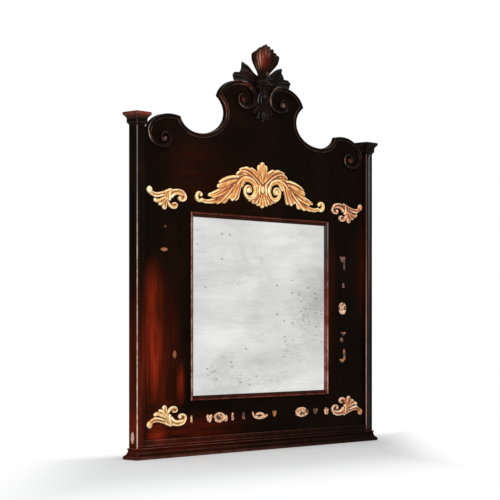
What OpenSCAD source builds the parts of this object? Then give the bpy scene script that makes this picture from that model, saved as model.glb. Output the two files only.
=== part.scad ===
// Wall mirror with a scroll-cut pediment, carved crest and gilt mounts.
// Millimetres, +Z up, front towards -Y, origin under the middle of the plinth.

/* [Posts] */
// Width over the two square posts
span = 1000; // [940:10:1100]
// Front width of a post
post_w = 30; // [26:1:38]
// Depth of a post from front to back
post_d = 31; // [30:1:40]
// Height of the capitals' tops above the floor
post_h = 904; // [900:1:960]
// Width of the hollow flute down a post's front
flute_w = 20; // [12:1:22]
// Depth of that flute
flute_depth = 3.5; // [2:0.5:4]

/* [Capital and plinth] */
// Overhang of the capitals' crowns
crown_over = 12; // [8:1:15]
// Height of a capital
capital_h = 36; // [30:1:45]
// Overhang of the plinth's nose
nose_over = 12; // [8:1:15]
// Thickness of the plinth board
plinth_h = 17; // [14:1:24]
// Height of the moulding that stands on the plinth board
neck_h = 12.5; // [9:0.5:18]
// Overhang of that moulding
neck_over = 3.2; // [2:0.2:6]
// Height of the bottom rail's top above the floor
rail_top = 49; // [44:1:60]
// Height of the bead across the bottom rail
bead_h = 4.5; // [3:0.5:6]
// Distance that this bead stands out
bead_out = 2.5; // [1.5:0.5:4]

/* [Panel] */
// Distance from the posts' fronts back to the panel's face
recess = 10; // [7:1:12]
// Thickness of the panel boards
board_t = 10; // [9:1:12]
// Depth of the grooves and rebates that hold the boards
groove_depth = 6; // [4:1:9]

/* [Mirror opening] */
// Width of glass that shows
sight_w = 560; // [480:5:580]
// Height of glass that shows
sight_h = 482; // [400:2:484]
// Height of the lower edge of the glass that shows
sight_z = 159.5; // [155:0.5:175]
// Width of the sight moulding
sight_mould_w = 14.6; // [12:0.2:20]
// Distance that its lip covers the glass
lip_cover = 6; // [4:0.5:8]
// Thickness of the glass
glass_t = 3; // [2:0.5:4]
// Thickness of the backing board
backing_t = 4; // [3:0.5:5]
// Distance that the backing board laps over the panel
backing_lap = 20; // [14:1:30]

/* [Scroll outline] */
// Distance from a post to the middle of the cut-out between shoulder and crest
cut_off = 214; // [208:1:220]
// Half width of the cut-out towards the crest
cut_in = 106; // [100:1:112]
// Half width of the cut-out towards the shoulder
cut_out = 75; // [70:1:80]
// Distance from the capitals' tops down to the lowest point of the cut-out
cut_drop = 35.5; // [32:0.5:40]
// Height from there to the cut-out's waist
cut_rise = 64.5; // [60:0.5:68]
// Height of the pediment board's top above the capitals' tops
pediment_rise = 126; // [120:1:132]
// Width of the raised lip along the scrolled edge
edge_lip_w = 13; // [9:1:16]
// Height of that lip above the panel
edge_lip_h = 3; // [2:0.5:5]

/* [Carving] */
// Height of the crest's tip above the pediment board
crest_h = 110; // [104:1:116]
// Forward reach of the crest from the panel
crest_reach = 21.5; // [16:0.5:22]
// Half width of the shell
shell_half = 59; // [50:1:64]
// Thickness of the gilt mounts at their ribs
gilt_h = 7; // [5:0.5:9]
// Thickness of the gilt mounts at their edges
gilt_edge = 3; // [2:0.5:4]
// Distance from the glass that shows up to the middle of the gilt centre mount's volutes
gilt_up = 85.5; // [80:0.5:90]
// Distance from a post to the middle of a gilt corner mount
corner_off = 86; // [84:1:90]
// Distance from the glass that shows up to the upper corner mounts' stems
corner_up = 54.5; // [50:0.5:60]
// Distance from the glass that shows down to the lower corner mounts' stems
corner_down = 62.5; // [56:0.5:66]

/* [Back fittings] */
// Length of a turn button
button_l = 38; // [34:1:44]
// Width of a turn button
button_w = 12; // [9:1:14]
// Thickness of a turn button
button_t = 2.5; // [1.5:0.5:3]
// Radius of a turn button's screw
pivot_r = 2; // [1.5:0.1:2.5]
// Running clearance of a turn button on its screw
pivot_gap = 0.06; // [0.03:0.01:0.1]
// Distance from the capitals down to the hanger plates' entry holes
hanger_down = 98; // [80:2:200]
// Radius of a hanger plate's entry hole
hanger_r = 5; // [4:0.5:6]
// Width of a hanger plate
hanger_w = 18; // [16:1:20]
// Length of a hanger plate
hanger_l = 52; // [48:1:60]
// Thickness of a hanger plate
hanger_t = 2; // [1.5:0.5:2.5]
// Radius of a dowel in the boards
dowel_r = 2.5; // [2:0.25:3]
// Length of a dowel
dowel_l = 50; // [30:5:60]

/* [Hidden] */
$fn = 48;

// Small clearances between pieces that are fitted dry
fit_gap = 0.1;
// Room for the boards to swell in their grooves
swell_gap = 0.5;
// Air beside a turning piece
turn_gap = 0.15;

// Front and back planes of the posts and of the panel
post_front = -post_d / 2;
post_back = post_d / 2;
panel_front = post_front + recess;
panel_back = panel_front + board_t;

// Levels and reaches that several pieces share
capital_z = post_h - capital_h;
pediment_top = post_h + pediment_rise;
total_h = pediment_top + crest_h;
post_inner = span / 2 - post_w;
board_half = post_inner + groove_depth - swell_gap;
board_foot = rail_top - groove_depth;
open_half = sight_w / 2 + lip_cover;
open_low = sight_z - lip_cover;
open_top = sight_z + sight_h + lip_cover;
sight_top = sight_z + sight_h;
sight_mid_z = sight_z + sight_h / 2;
gilt_z = sight_top + gilt_up;
corner_x = post_inner - corner_off;
corner_top_z = sight_top + corner_up;
corner_low_z = sight_z - corner_down;
hanger_z = capital_z - hanger_down;
lip_back = 0.5;
glass_gap = 0.5;
screw_r = 1.8;
wood = "#24130d";
gilt = "#e8c98c";

// Points on part of an ellipse
function arc(cx, cz, a, b, from, to, n = 24) =
    [for (i = [0:n]) let (t = from + (to - from) * i / n) [cx + a * cos(t), cz + b * sin(t)]];
function backwards(p) = [for (i = [len(p) - 1:-1:0]) p[i]];
function mirrored(p) = [for (q = backwards(p)) [-q[0], q[1]]];

// A point on a cubic curve and its direction
function curve(c, t) = pow(1 - t, 3) * c[0] + 3 * t * pow(1 - t, 2) * c[1]
    + 3 * t * t * (1 - t) * c[2] + pow(t, 3) * c[3];
function heading(c, t) = let (d = 3 * pow(1 - t, 2) * (c[1] - c[0])
    + 6 * t * (1 - t) * (c[2] - c[1]) + 3 * t * t * (c[3] - c[2])) d / norm(d);
function half_width(w, t) = pow(1 - t, 2) * w[0] + 2 * t * (1 - t) * w[1] + t * t * w[2];

// Outline of a carved strand with round ends: w is its half widths at start, middle and end
function strand(c, w, n = 8) = concat(
    [for (i = [0:n]) let (t = i / n, d = heading(c, t)) curve(c, t) + [-d[1], d[0]] * half_width(w, t)],
    round_end(c[3], w[2], heading(c, 1)),
    [for (i = [n:-1:0]) let (t = i / n, d = heading(c, t)) curve(c, t) - [-d[1], d[0]] * half_width(w, t)],
    round_end(c[0], w[0], -heading(c, 0)));
function round_end(p, r, d) = let (a = atan2(d[1], d[0]))
    [for (t = [a + 60, a + 20, a - 20, a - 60]) p + r * [cos(t), sin(t)]];

// Outline of a scroll's band: a spiral whose radius and width both shrink
function scroll_r(r0, r1, k) = r0 * pow(r1 / r0, k);
function scroll(cx, cz, r0, r1, from, to, w0, w1, n = 36) = concat(
    [for (i = [0:n]) let (k = i / n, t = from + (to - from) * k, r = scroll_r(r0, r1, k))
        [cx + r * cos(t), cz + r * sin(t)]],
    [for (i = [n:-1:0]) let (k = i / n, t = from + (to - from) * k,
        r = scroll_r(r0, r1, k) - w0 - (w1 - w0) * k) [cx + r * cos(t), cz + r * sin(t)]]);

// Stands a flat shape on the panel's face, or on a plane behind it, and raises it forwards
module raised(h, from = panel_front) {
    translate([0, from, 0]) rotate([90, 0, 0]) linear_extrude(h) children();
}

module both_sides() {
    children();
    mirror([1, 0, 0]) children();
}

// A square moulded block from one profile of [overhang, height] points
module moulded_block(half_x, half_y, profile) {
    intersection() {
        rotate([90, 0, 0]) linear_extrude(4 * half_y + 100, center = true)
            polygon(block_section(half_x, profile));
        rotate([90, 0, 90]) linear_extrude(4 * half_x + 100, center = true)
            polygon(block_section(half_y, profile));
    }
}
function block_section(half, profile) = concat(
    [for (p = profile) [half + p[0], p[1]]],
    [for (p = backwards(profile)) [-half - p[0], p[1]]]);

// Posts
flute_r = (pow(flute_w / 2, 2) + pow(flute_depth, 2)) / (2 * flute_depth);
flute_low = plinth_h + neck_h + bead_h + 4;
flute_high = capital_z - 4;
dowel_x = span / 2 - post_w / 2;
capital_dowel_r = 5;
capital_dowel_l = 44;
plinth_screw_l = 40;
module post(side) {
    color(wood) difference() {
        translate([side < 0 ? -span / 2 : span / 2 - post_w, post_front, plinth_h])
            cube([post_w, post_d, capital_z - plinth_h]);
        translate([side * dowel_x, post_front - flute_r + flute_depth, flute_low])
            cylinder(r = flute_r, h = flute_high - flute_low, $fn = 96);
        translate([side * (post_inner + groove_depth / 2), (panel_front + panel_back) / 2,
            (board_foot + capital_z + 10) / 2])
            cube([groove_depth, board_t + 2 * fit_gap, capital_z + 10 - board_foot], center = true);
        translate([side * dowel_x, 0, capital_z - capital_dowel_l / 2])
            cylinder(r = capital_dowel_r + fit_gap, h = capital_dowel_l);
        translate([side * dowel_x, 0, 0])
            cylinder(r = screw_r + fit_gap, h = plinth_screw_l + 1);
        hanger_recess(side);
    }
}

// Capitals: crown, bevel, band and cove, on the post's own section
cove_h = 7;
crown_h = 8;
bevel_h = 8;
band_over = 4.5;
function capital_profile() = [[0, capital_z], [0.8, capital_z + 1], [1.6, capital_z + cove_h * 0.55],
    [band_over - 1, capital_z + cove_h * 0.9], [band_over, capital_z + cove_h],
    [band_over, post_h - crown_h - bevel_h], [band_over + 1.5, post_h - crown_h - bevel_h * 0.85],
    [crown_over - 2.5, post_h - crown_h - bevel_h * 0.25], [crown_over - 0.5, post_h - crown_h],
    [crown_over, post_h - crown_h + 1], [crown_over, post_h - 1], [crown_over - 1, post_h]];
module capital(side) {
    color(wood) difference() {
        translate([side * dowel_x, 0, 0])
            moulded_block(post_w / 2, post_d / 2, capital_profile());
        translate([side * dowel_x, 0, capital_z - 1])
            cylinder(r = capital_dowel_r + fit_gap, h = capital_dowel_l / 2 + 1.5);
    }
}
module capital_dowels() {
    color("burlywood") both_sides()
        translate([dowel_x, 0, capital_z - capital_dowel_l / 2 + fit_gap])
            cylinder(r = capital_dowel_r, h = capital_dowel_l);
}

// Plinth board with an ogee run on all four edges, and the screws up through it
function plinth_profile() = [[nose_over - 2.5, 0], [nose_over - 1, 1], [nose_over, 3.5],
    [nose_over, plinth_h * 0.46], [nose_over - 1, plinth_h * 0.56],
    [nose_over * 0.7, plinth_h * 0.64], [nose_over * 0.48, plinth_h * 0.78],
    [neck_over + 1.4, plinth_h * 0.88], [neck_over + 1, plinth_h]];
rail_screw_x = [-300, 0, 300];
rail_screw_y = (post_front + panel_front) / 2;
module plinth_screw_places() {
    for (x = [-dowel_x, dowel_x]) translate([x, 0, 0]) children();
    for (x = rail_screw_x) translate([x, rail_screw_y, 0]) children();
}
head_r = 4;
head_h = 2.4;
head_deep = 1;
module plinth_board() {
    color(wood) difference() {
        moulded_block(span / 2, post_d / 2, plinth_profile());
        plinth_screw_places() {
            translate([0, 0, -1]) cylinder(r = screw_r + fit_gap, h = plinth_h + 2);
            translate([0, 0, -0.01]) cylinder(r = head_r + fit_gap, h = head_h + head_deep + 0.02);
        }
    }
}
module plinth_screws() {
    color("silver") plinth_screw_places() {
        translate([0, 0, head_deep]) cylinder(r = screw_r, h = plinth_screw_l);
        translate([0, 0, head_deep]) cylinder(r = head_r, h = head_h);
    }
}

// Mitred moulding that stands on the plinth board, one length a side
function neck_profile() = [[0, 0], [neck_over, 0], [neck_over, neck_h * 0.12],
    [neck_over - 1.4, neck_h * 0.3], [neck_over - 1.4, neck_h * 0.55], [neck_over, neck_h * 0.72],
    [neck_over, neck_h * 0.9], [neck_over - 0.9, neck_h], [0, neck_h]];
module neck_run(half_len, half_other) {
    intersection() {
        translate([0, -half_other, plinth_h]) rotate([90, 0, 90])
            linear_extrude(2 * half_len + 40, center = true)
                polygon([for (p = neck_profile()) [-p[0], p[1]]]);
        translate([0, 0, plinth_h - 1]) linear_extrude(neck_h + 2)
            polygon([[-half_len, -half_other], [-half_len - 10, -half_other - 10],
                [half_len + 10, -half_other - 10], [half_len, -half_other]]);
    }
}
module neck_front() { color(wood) neck_run(span / 2, post_d / 2); }
module neck_back() { color(wood) mirror([0, 1, 0]) neck_run(span / 2, post_d / 2); }
module neck_left() { color(wood) rotate(-90) neck_run(post_d / 2, span / 2); }
module neck_right() { color(wood) rotate(90) neck_run(post_d / 2, span / 2); }

// Bottom rail, flush with the posts, and the bead across it
module bottom_rail() {
    color(wood) difference() {
        translate([-post_inner, post_front, plinth_h])
            cube([2 * post_inner, panel_back - post_front, rail_top - plinth_h]);
        translate([-post_inner - 1, panel_front - fit_gap, board_foot])
            cube([2 * post_inner + 2, board_t + 1, groove_depth + 1]);
        plinth_screw_places() cylinder(r = screw_r + fit_gap, h = rail_screw_hole);
    }
}
rail_screw_hole = rail_top - 4;
bead_z = plinth_h + neck_h + 2;
module rail_bead() {
    color(wood) translate([0, post_front, bead_z]) rotate([90, 0, 90])
        linear_extrude(span - 4, center = true)
            polygon(concat([[0, 0]], arc(0, bead_h / 2, -bead_out, bead_h / 2, -90, 90, 10)));
}

// Panel boards round the mirror opening, with dowelled butt joints
dowel_places = [(open_half + 50), (board_half - 50)];
module dowel_holes() {
    both_sides() for (x = dowel_places, z = [open_low, open_top])
        translate([x, (panel_front + panel_back) / 2, z])
            cylinder(r = dowel_r + fit_gap, h = dowel_l + 2, center = true);
}
module panel_dowels() {
    color("burlywood") both_sides() for (x = dowel_places, z = [open_low, open_top])
        translate([x, (panel_front + panel_back) / 2, z])
            cylinder(r = dowel_r, h = dowel_l, center = true);
}
module lower_panel_rail() {
    color(wood) difference() {
        translate([-board_half, panel_front, board_foot])
            cube([2 * board_half, board_t, open_low - board_foot]);
        dowel_holes();
    }
}
module stile(side) {
    color(wood) difference() {
        translate([side < 0 ? -board_half : open_half, panel_front, open_low])
            cube([board_half - open_half, board_t, open_top - open_low]);
        dowel_holes();
    }
}

// Pediment outline, from the post to the centre line, then mirrored
shoulder_z = capital_z;
shoulder_a = 90;
shoulder_b = 56;
shoulder_c = [post_inner - shoulder_a - 16, shoulder_z - 13];
tip_z = shoulder_c[1] + shoulder_b - 6;
cut_x = post_inner - cut_off;
cut_z = post_h - cut_drop;
cut_c = [cut_x, cut_z + cut_rise];
outer_b = 46.5;
outer_c = [cut_x, cut_z + outer_b];
hump_b = 65;
hump_c = [85, pediment_top - hump_b];
horn_z = hump_c[1] + 13;
hump_a = (cut_x + cut_in * cos(horn_angle()) - hump_c[0]) / cos(hump_start());
function shoulder_start() = asin((shoulder_z - shoulder_c[1]) / shoulder_b);
function shoulder_end() = 180 - asin((tip_z + 1 - shoulder_c[1]) / shoulder_b);
function outer_end() = -asin((outer_c[1] - tip_z) / outer_b);
function horn_angle() = 180 - asin((horn_z - cut_c[1]) / cut_rise);
function hump_start() = asin((horn_z - hump_c[1]) / hump_b);
function shoulder_arc(g = 0, from = shoulder_start()) =
    arc(shoulder_c[0], shoulder_c[1], shoulder_a - g, shoulder_b - g, from, shoulder_end());
function outer_arc(g = 0) = arc(outer_c[0], outer_c[1], cut_out + g, outer_b + g, outer_end(), -90, 14);
function inner_arc(g = 0) = arc(cut_c[0], cut_c[1], cut_in + g, cut_rise + g, -90, -360 + horn_angle(), 24);
function hump_arc(g = 0) = arc(hump_c[0], hump_c[1], hump_a - g, hump_b - g, hump_start(), 90, 18);
function half_outline() = concat([[board_half, open_top], [board_half, shoulder_z]],
    shoulder_arc(), outer_arc(), inner_arc(), hump_arc());
module pediment_board() {
    color(wood) difference() {
        raised(board_t, panel_back) polygon(concat(half_outline(), mirrored(half_outline())));
        dowel_holes();
    }
}

// Raised lip along the cut-out, and the scrolls that it runs into at each end
module edge_lip() {
    color(wood) raised(edge_lip_h) {
        polygon(concat(outer_arc(), inner_arc(), backwards(inner_arc(edge_lip_w)),
            backwards(outer_arc(edge_lip_w))));
    }
}
scroll_h = 8;
shoulder_scroll_r = 47;
shoulder_scroll_c = [post_inner - shoulder_scroll_r - 17, shoulder_z - 10];
shoulder_eye = shoulder_scroll_c + [-12, -17];
module eye(c, r, h) {
    translate([c[0], panel_front, c[1]]) rotate([90, 0, 0]) intersection() {
        translate([0, 0, h - r * 1.25]) sphere(r = r * 1.25);
        cylinder(r = r, h = h + 1);
    }
}
module shoulder_volute() {
    color(wood) {
        difference() {
            raised(edge_lip_h + 1)
                polygon(concat(shoulder_arc(0, 6), backwards(shoulder_arc(edge_lip_w, 6))));
            raised(edge_lip_h + 2) polygon(concat(outer_arc(-20), backwards(outer_arc(edge_lip_w))));
        }
        raised(scroll_h) polygon(scroll(shoulder_scroll_c[0], shoulder_scroll_c[1],
            shoulder_scroll_r, 24, 12, -260, 12, 6));
        eye(shoulder_eye, 14, scroll_h + 1);
    }
}
crest_scroll_r = 40;
crest_scroll_c = [68, pediment_top - crest_scroll_r];
crest_eye = crest_scroll_c + [20, -13];
function crest_scroll() = scroll(crest_scroll_c[0], crest_scroll_c[1], crest_scroll_r, 35, 90, 345, 12, 7);
function hump_end() = [[crest_scroll_c[0] - 1, pediment_top],
    [crest_scroll_c[0] - 1, pediment_top - edge_lip_w + 1]];
module crest_volute() {
    color(wood) {
        difference() {
            raised(edge_lip_h + 1) polygon(concat(hump_arc(), hump_end(), backwards(hump_arc(edge_lip_w))));
            raised(edge_lip_h + 2) polygon(concat(arc(cut_c[0], cut_c[1], cut_in + edge_lip_w,
                cut_rise + edge_lip_w, -180, -360 + horn_angle()), [[cut_c[0], horn_z]]));
        }
        raised(scroll_h + 3) polygon(crest_scroll());
        eye(crest_eye, 15, scroll_h + 3);
    }
}

// Crest: a fluted shell leaning forwards, a leaf each side and a husk that drops in front
shell_foot = pediment_top + 12;
shell_ribs = 9;
shell_fan = 104;
stem_half = 15;
stem_foot_half = 20;
stem_low = pediment_top - 28;
stem_t = 14;
rim_r = 8.5;
function stem_edge(gap = 0) = [[stem_foot_half + gap, stem_low], [stem_foot_half + gap, pediment_top],
    [stem_half + gap, pediment_top + 6], [stem_half + gap, shell_foot + 12]];
function rib_angle(i) = 90 + shell_fan * (0.5 - (i + 0.5) / shell_ribs);
function rib_len(a) = (total_h - rim_r - shell_foot) * (0.74 + 0.26 * pow(sin(a), 2));
module shell_rib(a) {
    reach = crest_reach - rim_r;
    side = shell_half - rim_r;
    hull() {
        translate([9 * cos(a), panel_front - 7, shell_foot + 6]) sphere(r = 5, $fn = 14);
        translate([side * 0.75 * cos(a), panel_front - reach * 0.5,
            shell_foot + rib_len(a) * 0.5 * sin(a)]) sphere(r = 7, $fn = 14);
        translate([side * cos(a) / cos(90 - shell_fan / 2), panel_front - reach,
            shell_foot + rib_len(a) * sin(a)]) sphere(r = rim_r, $fn = 16);
    }
}
module crest_shell() {
    color("#4a2417") {
        for (i = [0:shell_ribs - 1]) shell_rib(rib_angle(i));
        raised(stem_t) polygon(concat(stem_edge(), mirrored(stem_edge())));
        raised(stem_t, panel_back) translate([-stem_half, pediment_top])
            square([2 * stem_half, shell_foot + 8 - pediment_top]);
    }
}
// Strands of the right leaf and of the husk drop, with heights from the pediment board's top
leaf_strands = [
    [[[18, 8], [45, 8], [80, 10], [117, 11]], [9, 10, 6]],
    [[[20, 12], [45, 14], [72, 28], [94, 52]], [9, 10, 1.5]],
    [[[16, 2], [40, 4], [70, 6], [108, 7]], [8, 7, 5]]
];
leaf_t = 16;
module leaf_flat(k) {
    difference() {
        translate([0, pediment_top]) for (s = leaf_strands) polygon(strand(s[0], s[1] * k));
        translate([0, pediment_top - 50]) square([200, 50]);
        polygon(concat([[0, stem_low]], stem_edge(0.2), [[shell_half + 12, shell_foot + 62], [0, total_h]]));
    }
}
module crest_leaf() {
    color(wood) {
        raised(leaf_t - 4, panel_back - 3) leaf_flat(1);
        raised(leaf_t, panel_back - 3) leaf_flat(0.55);
    }
}
drop_ribs = [[[0, -30], [0, -55], [0, -80], [0, -104]], [[3, -38], [10, -58], [16, -80], [22, -94]],
    [[5, -32], [20, -50], [30, -68], [38, -80]]];
module drop_flat(k) {
    difference() {
        translate([0, pediment_top]) for (d = drop_ribs, s = [-1, 1])
            polygon(strand([for (p = d) [s * p[0], p[1]]], [7, 9, 5] * k));
        for (s = [-1, 1]) translate([s * crest_scroll_c[0], crest_scroll_c[1]])
            circle(r = crest_scroll_r + 0.3);
        translate([-50, stem_low - 0.2]) square([100, 50]);
    }
}
module crest_drop() {
    color(wood) {
        raised(8) drop_flat(1);
        raised(12) drop_flat(0.5);
        raised(16) polygon(arc(0, stem_low - 11, 20, 10, 0, 360, 24));
    }
}

// Brace behind the crest
brace_w = 34;
brace_t = 8;
brace_foot = pediment_top - 150;
brace_top = shell_foot + 10;
brace_screw_z = [brace_foot + 20, pediment_top - 80, pediment_top - 20];
brace_screw_l = 15;
module crest_brace() {
    color("peru") difference() {
        translate([-brace_w / 2, panel_back, brace_foot])
            cube([brace_w, brace_t, brace_top - brace_foot]);
        for (z = brace_screw_z) translate([0, panel_back + brace_t + 1, z]) rotate([90, 0, 0])
            cylinder(r = screw_r + fit_gap, h = brace_t + 2);
    }
}
module brace_screws() {
    color("silver") for (z = brace_screw_z) translate([0, panel_back + brace_t, z]) {
        rotate([-90, 0, 0]) cylinder(r = head_r, h = head_h);
        rotate([90, 0, 0]) cylinder(r = screw_r, h = brace_t);
    }
}

// Sight moulding round the glass: a bead outside, a slope down to the lip
sight_bead_r = 3.6;
function sight_profile() = concat([[0, -lip_back], [0, 1], [2.5, 1.7], [5, 2.9],
    [sight_mould_w - 2 * sight_bead_r - 0.4, 3.1]],
    arc(sight_mould_w - sight_bead_r, 1.8, sight_bead_r, sight_bead_r, 160, 0, 10),
    [[sight_mould_w, 0], [lip_cover, 0], [lip_cover, -lip_back]]);
module sight_run(half_len, half_other) {
    far = sight_mould_w + 6;
    intersection() {
        rotate([90, 0, 90]) linear_extrude(2 * half_len + 60, center = true)
            polygon([for (p = sight_profile()) [panel_front - p[1], half_other + p[0]]]);
        rotate([90, 0, 0]) linear_extrude(100, center = true)
            polygon([[-half_len, half_other], [half_len, half_other],
                [half_len + far, half_other + far], [-half_len - far, half_other + far]]);
    }
}
module sight_side(turn, half_len, half_other) {
    color(wood) translate([0, 0, sight_mid_z]) rotate([0, turn, 0]) sight_run(half_len, half_other);
}

// Glass, the blocking behind it and the backing board
module mirror_glass() {
    color("gainsboro") translate([-open_half + glass_gap, panel_front + lip_back, open_low + glass_gap])
        cube([2 * (open_half - glass_gap), glass_t, open_top - open_low - 2 * glass_gap]);
}
block_w = 12;
module glass_blocking() {
    deep = board_t - lip_back - glass_t;
    front = panel_front + lip_back + glass_t;
    color("burlywood") {
        for (z = [open_low, open_top - block_w]) translate([-open_half, front, z])
            cube([2 * open_half, deep, block_w]);
        for (x = [-open_half, open_half - block_w]) translate([x, front, open_low + block_w])
            cube([block_w, deep, open_top - open_low - 2 * block_w]);
    }
}
module backing_board() {
    color("peru") translate([-open_half - backing_lap, panel_back, open_low - backing_lap])
        cube([2 * (open_half + backing_lap), backing_t, open_top - open_low + 2 * backing_lap]);
}

// Turn buttons at the back, each on a washer and a screw of its own.
// A place is [x, z, turn]: the turn points the button over the backing board.
button_off = button_w / 2 + 6;
button_x = open_half + backing_lap + button_off;
button_low = open_low - backing_lap - button_off;
button_high = open_top + backing_lap + button_off;
button_side_z = [sight_mid_z - 150, sight_mid_z + 150];
button_top_place = [0, button_high, 90];
button_bottom_place = [0, button_low, -90];
button_places = [button_top_place, button_bottom_place,
    [-button_x, button_side_z[1], 0], [-button_x, button_side_z[0], 0],
    [button_x, button_side_z[1], 180], [button_x, button_side_z[0], 180]];
washer_t = backing_t + turn_gap;
button_back = panel_back + washer_t + turn_gap;
button_tail = 9;
washer_r = 5;
button_screw_deep = 6;
module turn_button(place) {
    color("goldenrod") translate([place[0], button_back, place[1]]) rotate([0, place[2], 0])
        rotate([-90, 0, 0]) difference() {
            linear_extrude(button_t) union() {
                translate([-button_tail + button_w / 2, -button_w / 2])
                    square([button_l - button_w, button_w]);
                translate([-button_tail + button_w / 2, 0]) circle(r = button_w / 2);
                translate([button_l - button_tail - button_w / 2, 0]) circle(r = button_w / 2);
            }
            translate([0, 0, -1]) cylinder(r = pivot_r + pivot_gap, h = button_t + 2);
        }
}
module button_washers() {
    color("silver") for (p = button_places) translate([p[0], panel_back, p[1]]) rotate([-90, 0, 0])
        difference() {
            cylinder(r = washer_r, h = washer_t);
            translate([0, 0, -1]) cylinder(r = pivot_r + fit_gap, h = washer_t + 2);
        }
}
module button_screws() {
    color("silver") for (p = button_places) translate([p[0], panel_back, p[1]]) rotate([-90, 0, 0]) {
        cylinder(r = pivot_r, h = washer_t + button_t + 3 * turn_gap);
        translate([0, 0, washer_t + button_t + 2 * turn_gap]) cylinder(r = head_r, h = head_h);
    }
}

// Keyhole hanger plates, let in flush at the backs of the posts over a routed pocket
slot_r = 2.6;
slot_l = 14;
hanger_pocket = 8;
pocket_r = 6.5;
head_room = 4.4;
hanger_screw_off = hanger_l / 2 - 5;
hanger_mid = hanger_z + slot_l / 2;
hanger_screw_l = 14;
module hanger_recess(side) {
    translate([side * dowel_x, post_back, hanger_mid]) {
        cube([hanger_w + 2 * fit_gap, 2 * hanger_t, hanger_l + 2 * fit_gap], center = true);
        rotate([90, 0, 0]) {
            translate([0, -slot_l / 2, 0]) cylinder(r = pocket_r, h = hanger_pocket);
            translate([0, slot_l / 2, 0]) cylinder(r = head_room, h = hanger_pocket);
            translate([-head_room, -slot_l / 2, 0]) cube([2 * head_room, slot_l, hanger_pocket]);
            for (z = [-hanger_screw_off, hanger_screw_off]) translate([0, z, 0])
                cylinder(r = screw_r + fit_gap, h = hanger_screw_l + 0.5);
        }
    }
}
module hanger_plate(side) {
    color("silver") translate([side * dowel_x, post_back - hanger_t, hanger_mid])
        rotate([-90, 0, 0]) difference() {
            translate([-hanger_w / 2, -hanger_l / 2, 0]) cube([hanger_w, hanger_l, hanger_t]);
            translate([0, slot_l / 2, -1]) cylinder(r = hanger_r, h = hanger_t + 2);
            translate([-slot_r, -slot_l / 2, -1]) cube([2 * slot_r, slot_l, hanger_t + 2]);
            translate([0, -slot_l / 2, -1]) cylinder(r = slot_r, h = hanger_t + 2);
            for (z = [-hanger_screw_off, hanger_screw_off]) translate([0, z, -1])
                cylinder(r = screw_r + fit_gap, h = hanger_t + 2);
        }
}
module hanger_screws() {
    color("silver") both_sides() for (z = [-hanger_screw_off, hanger_screw_off])
        translate([dowel_x, post_back, hanger_mid + z]) rotate([90, 0, 0]) {
            cylinder(r = screw_r, h = hanger_screw_l);
            translate([0, 0, -0.8]) cylinder(r = 3.2, h = 0.8);
        }
}

// Gilt centre mount: strands of one half about the volute's middle, drawn to the right
gilt_volute_x = 58;
gilt_strands = [
    [[[201, -39], [163, -44], [124, -30], [91, 16]], [5.5, 12, 10]],
    [[[91, 16], [69, 24], [44, 29], [4, 33]], [10, 9, 8]],
    [[[46, 42], [33, 52], [7, 56], [-36, 30]], [4, 6, 7]],
    [[[31, 55], [19, 59], [-2, 60], [-44, 40]], [3, 4.5, 6]],
    [[[-58, 74], [-56, 60], [-54, 40], [-56, 14]], [8, 8, 10]],
    [[[-38, 70], [-46, 64], [-52, 54], [-56, 44]], [5.5, 6, 6]],
    [[[136, 7], [122, 8], [94, 16], [59, 24]], [3.5, 7, 8]],
    [[[120, 15], [110, 17], [94, 20], [69, 25]], [3, 5, 5]],
    [[[66, -31], [47, -31], [41, -8], [51, 16]], [4, 9, 10]],
    [[[123, -44], [97, -38], [87, -12], [83, 10]], [4, 13, 12]],
    [[[167, -25], [149, -27], [133, -14], [111, 2]], [3, 5, 6]],
    [[[-8, -34], [-24, -30], [-36, -22], [-50, -12]], [5, 8, 7]],
    [[[-40, -38], [-48, -32], [-52, -24], [-56, -10]], [8, 9, 7]]
];
gilt_body = [[20, 0], [50, 6], [80, 4], [100, -8]];
module gilt_half_flat(k) {
    for (s = gilt_strands) polygon(strand(s[0], s[1] * k));
}
module gilt_half() {
    translate([gilt_volute_x, 0, gilt_z]) {
        raised(gilt_edge) {
            gilt_half_flat(1);
            polygon(strand(gilt_body, [30, 22, 14]));
            circle(r = 34);
        }
        raised(gilt_h - 1) gilt_half_flat(0.5);
        raised(gilt_h) polygon(scroll(-1, 1, 37, 33, 60, -290, 16, 10, 30));
        raised(gilt_h) circle(r = 9.5, $fn = 20);
        raised(gilt_h) polygon(scroll(203, -30, 15, 13, -100, 150, 9, 6, 18));
    }
}
module gilt_centre_mount() {
    color(gilt) {
        both_sides() gilt_half();
        raised(gilt_h) translate([0, gilt_z + 4]) circle(r = 13, $fn = 24);
        raised(gilt_edge) polygon(arc(0, gilt_z + 14, 24, 30, 0, 345, 23));
        raised(gilt_edge) translate([0, gilt_z - 16]) circle(r = 28, $fn = 24);
    }
}

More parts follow.
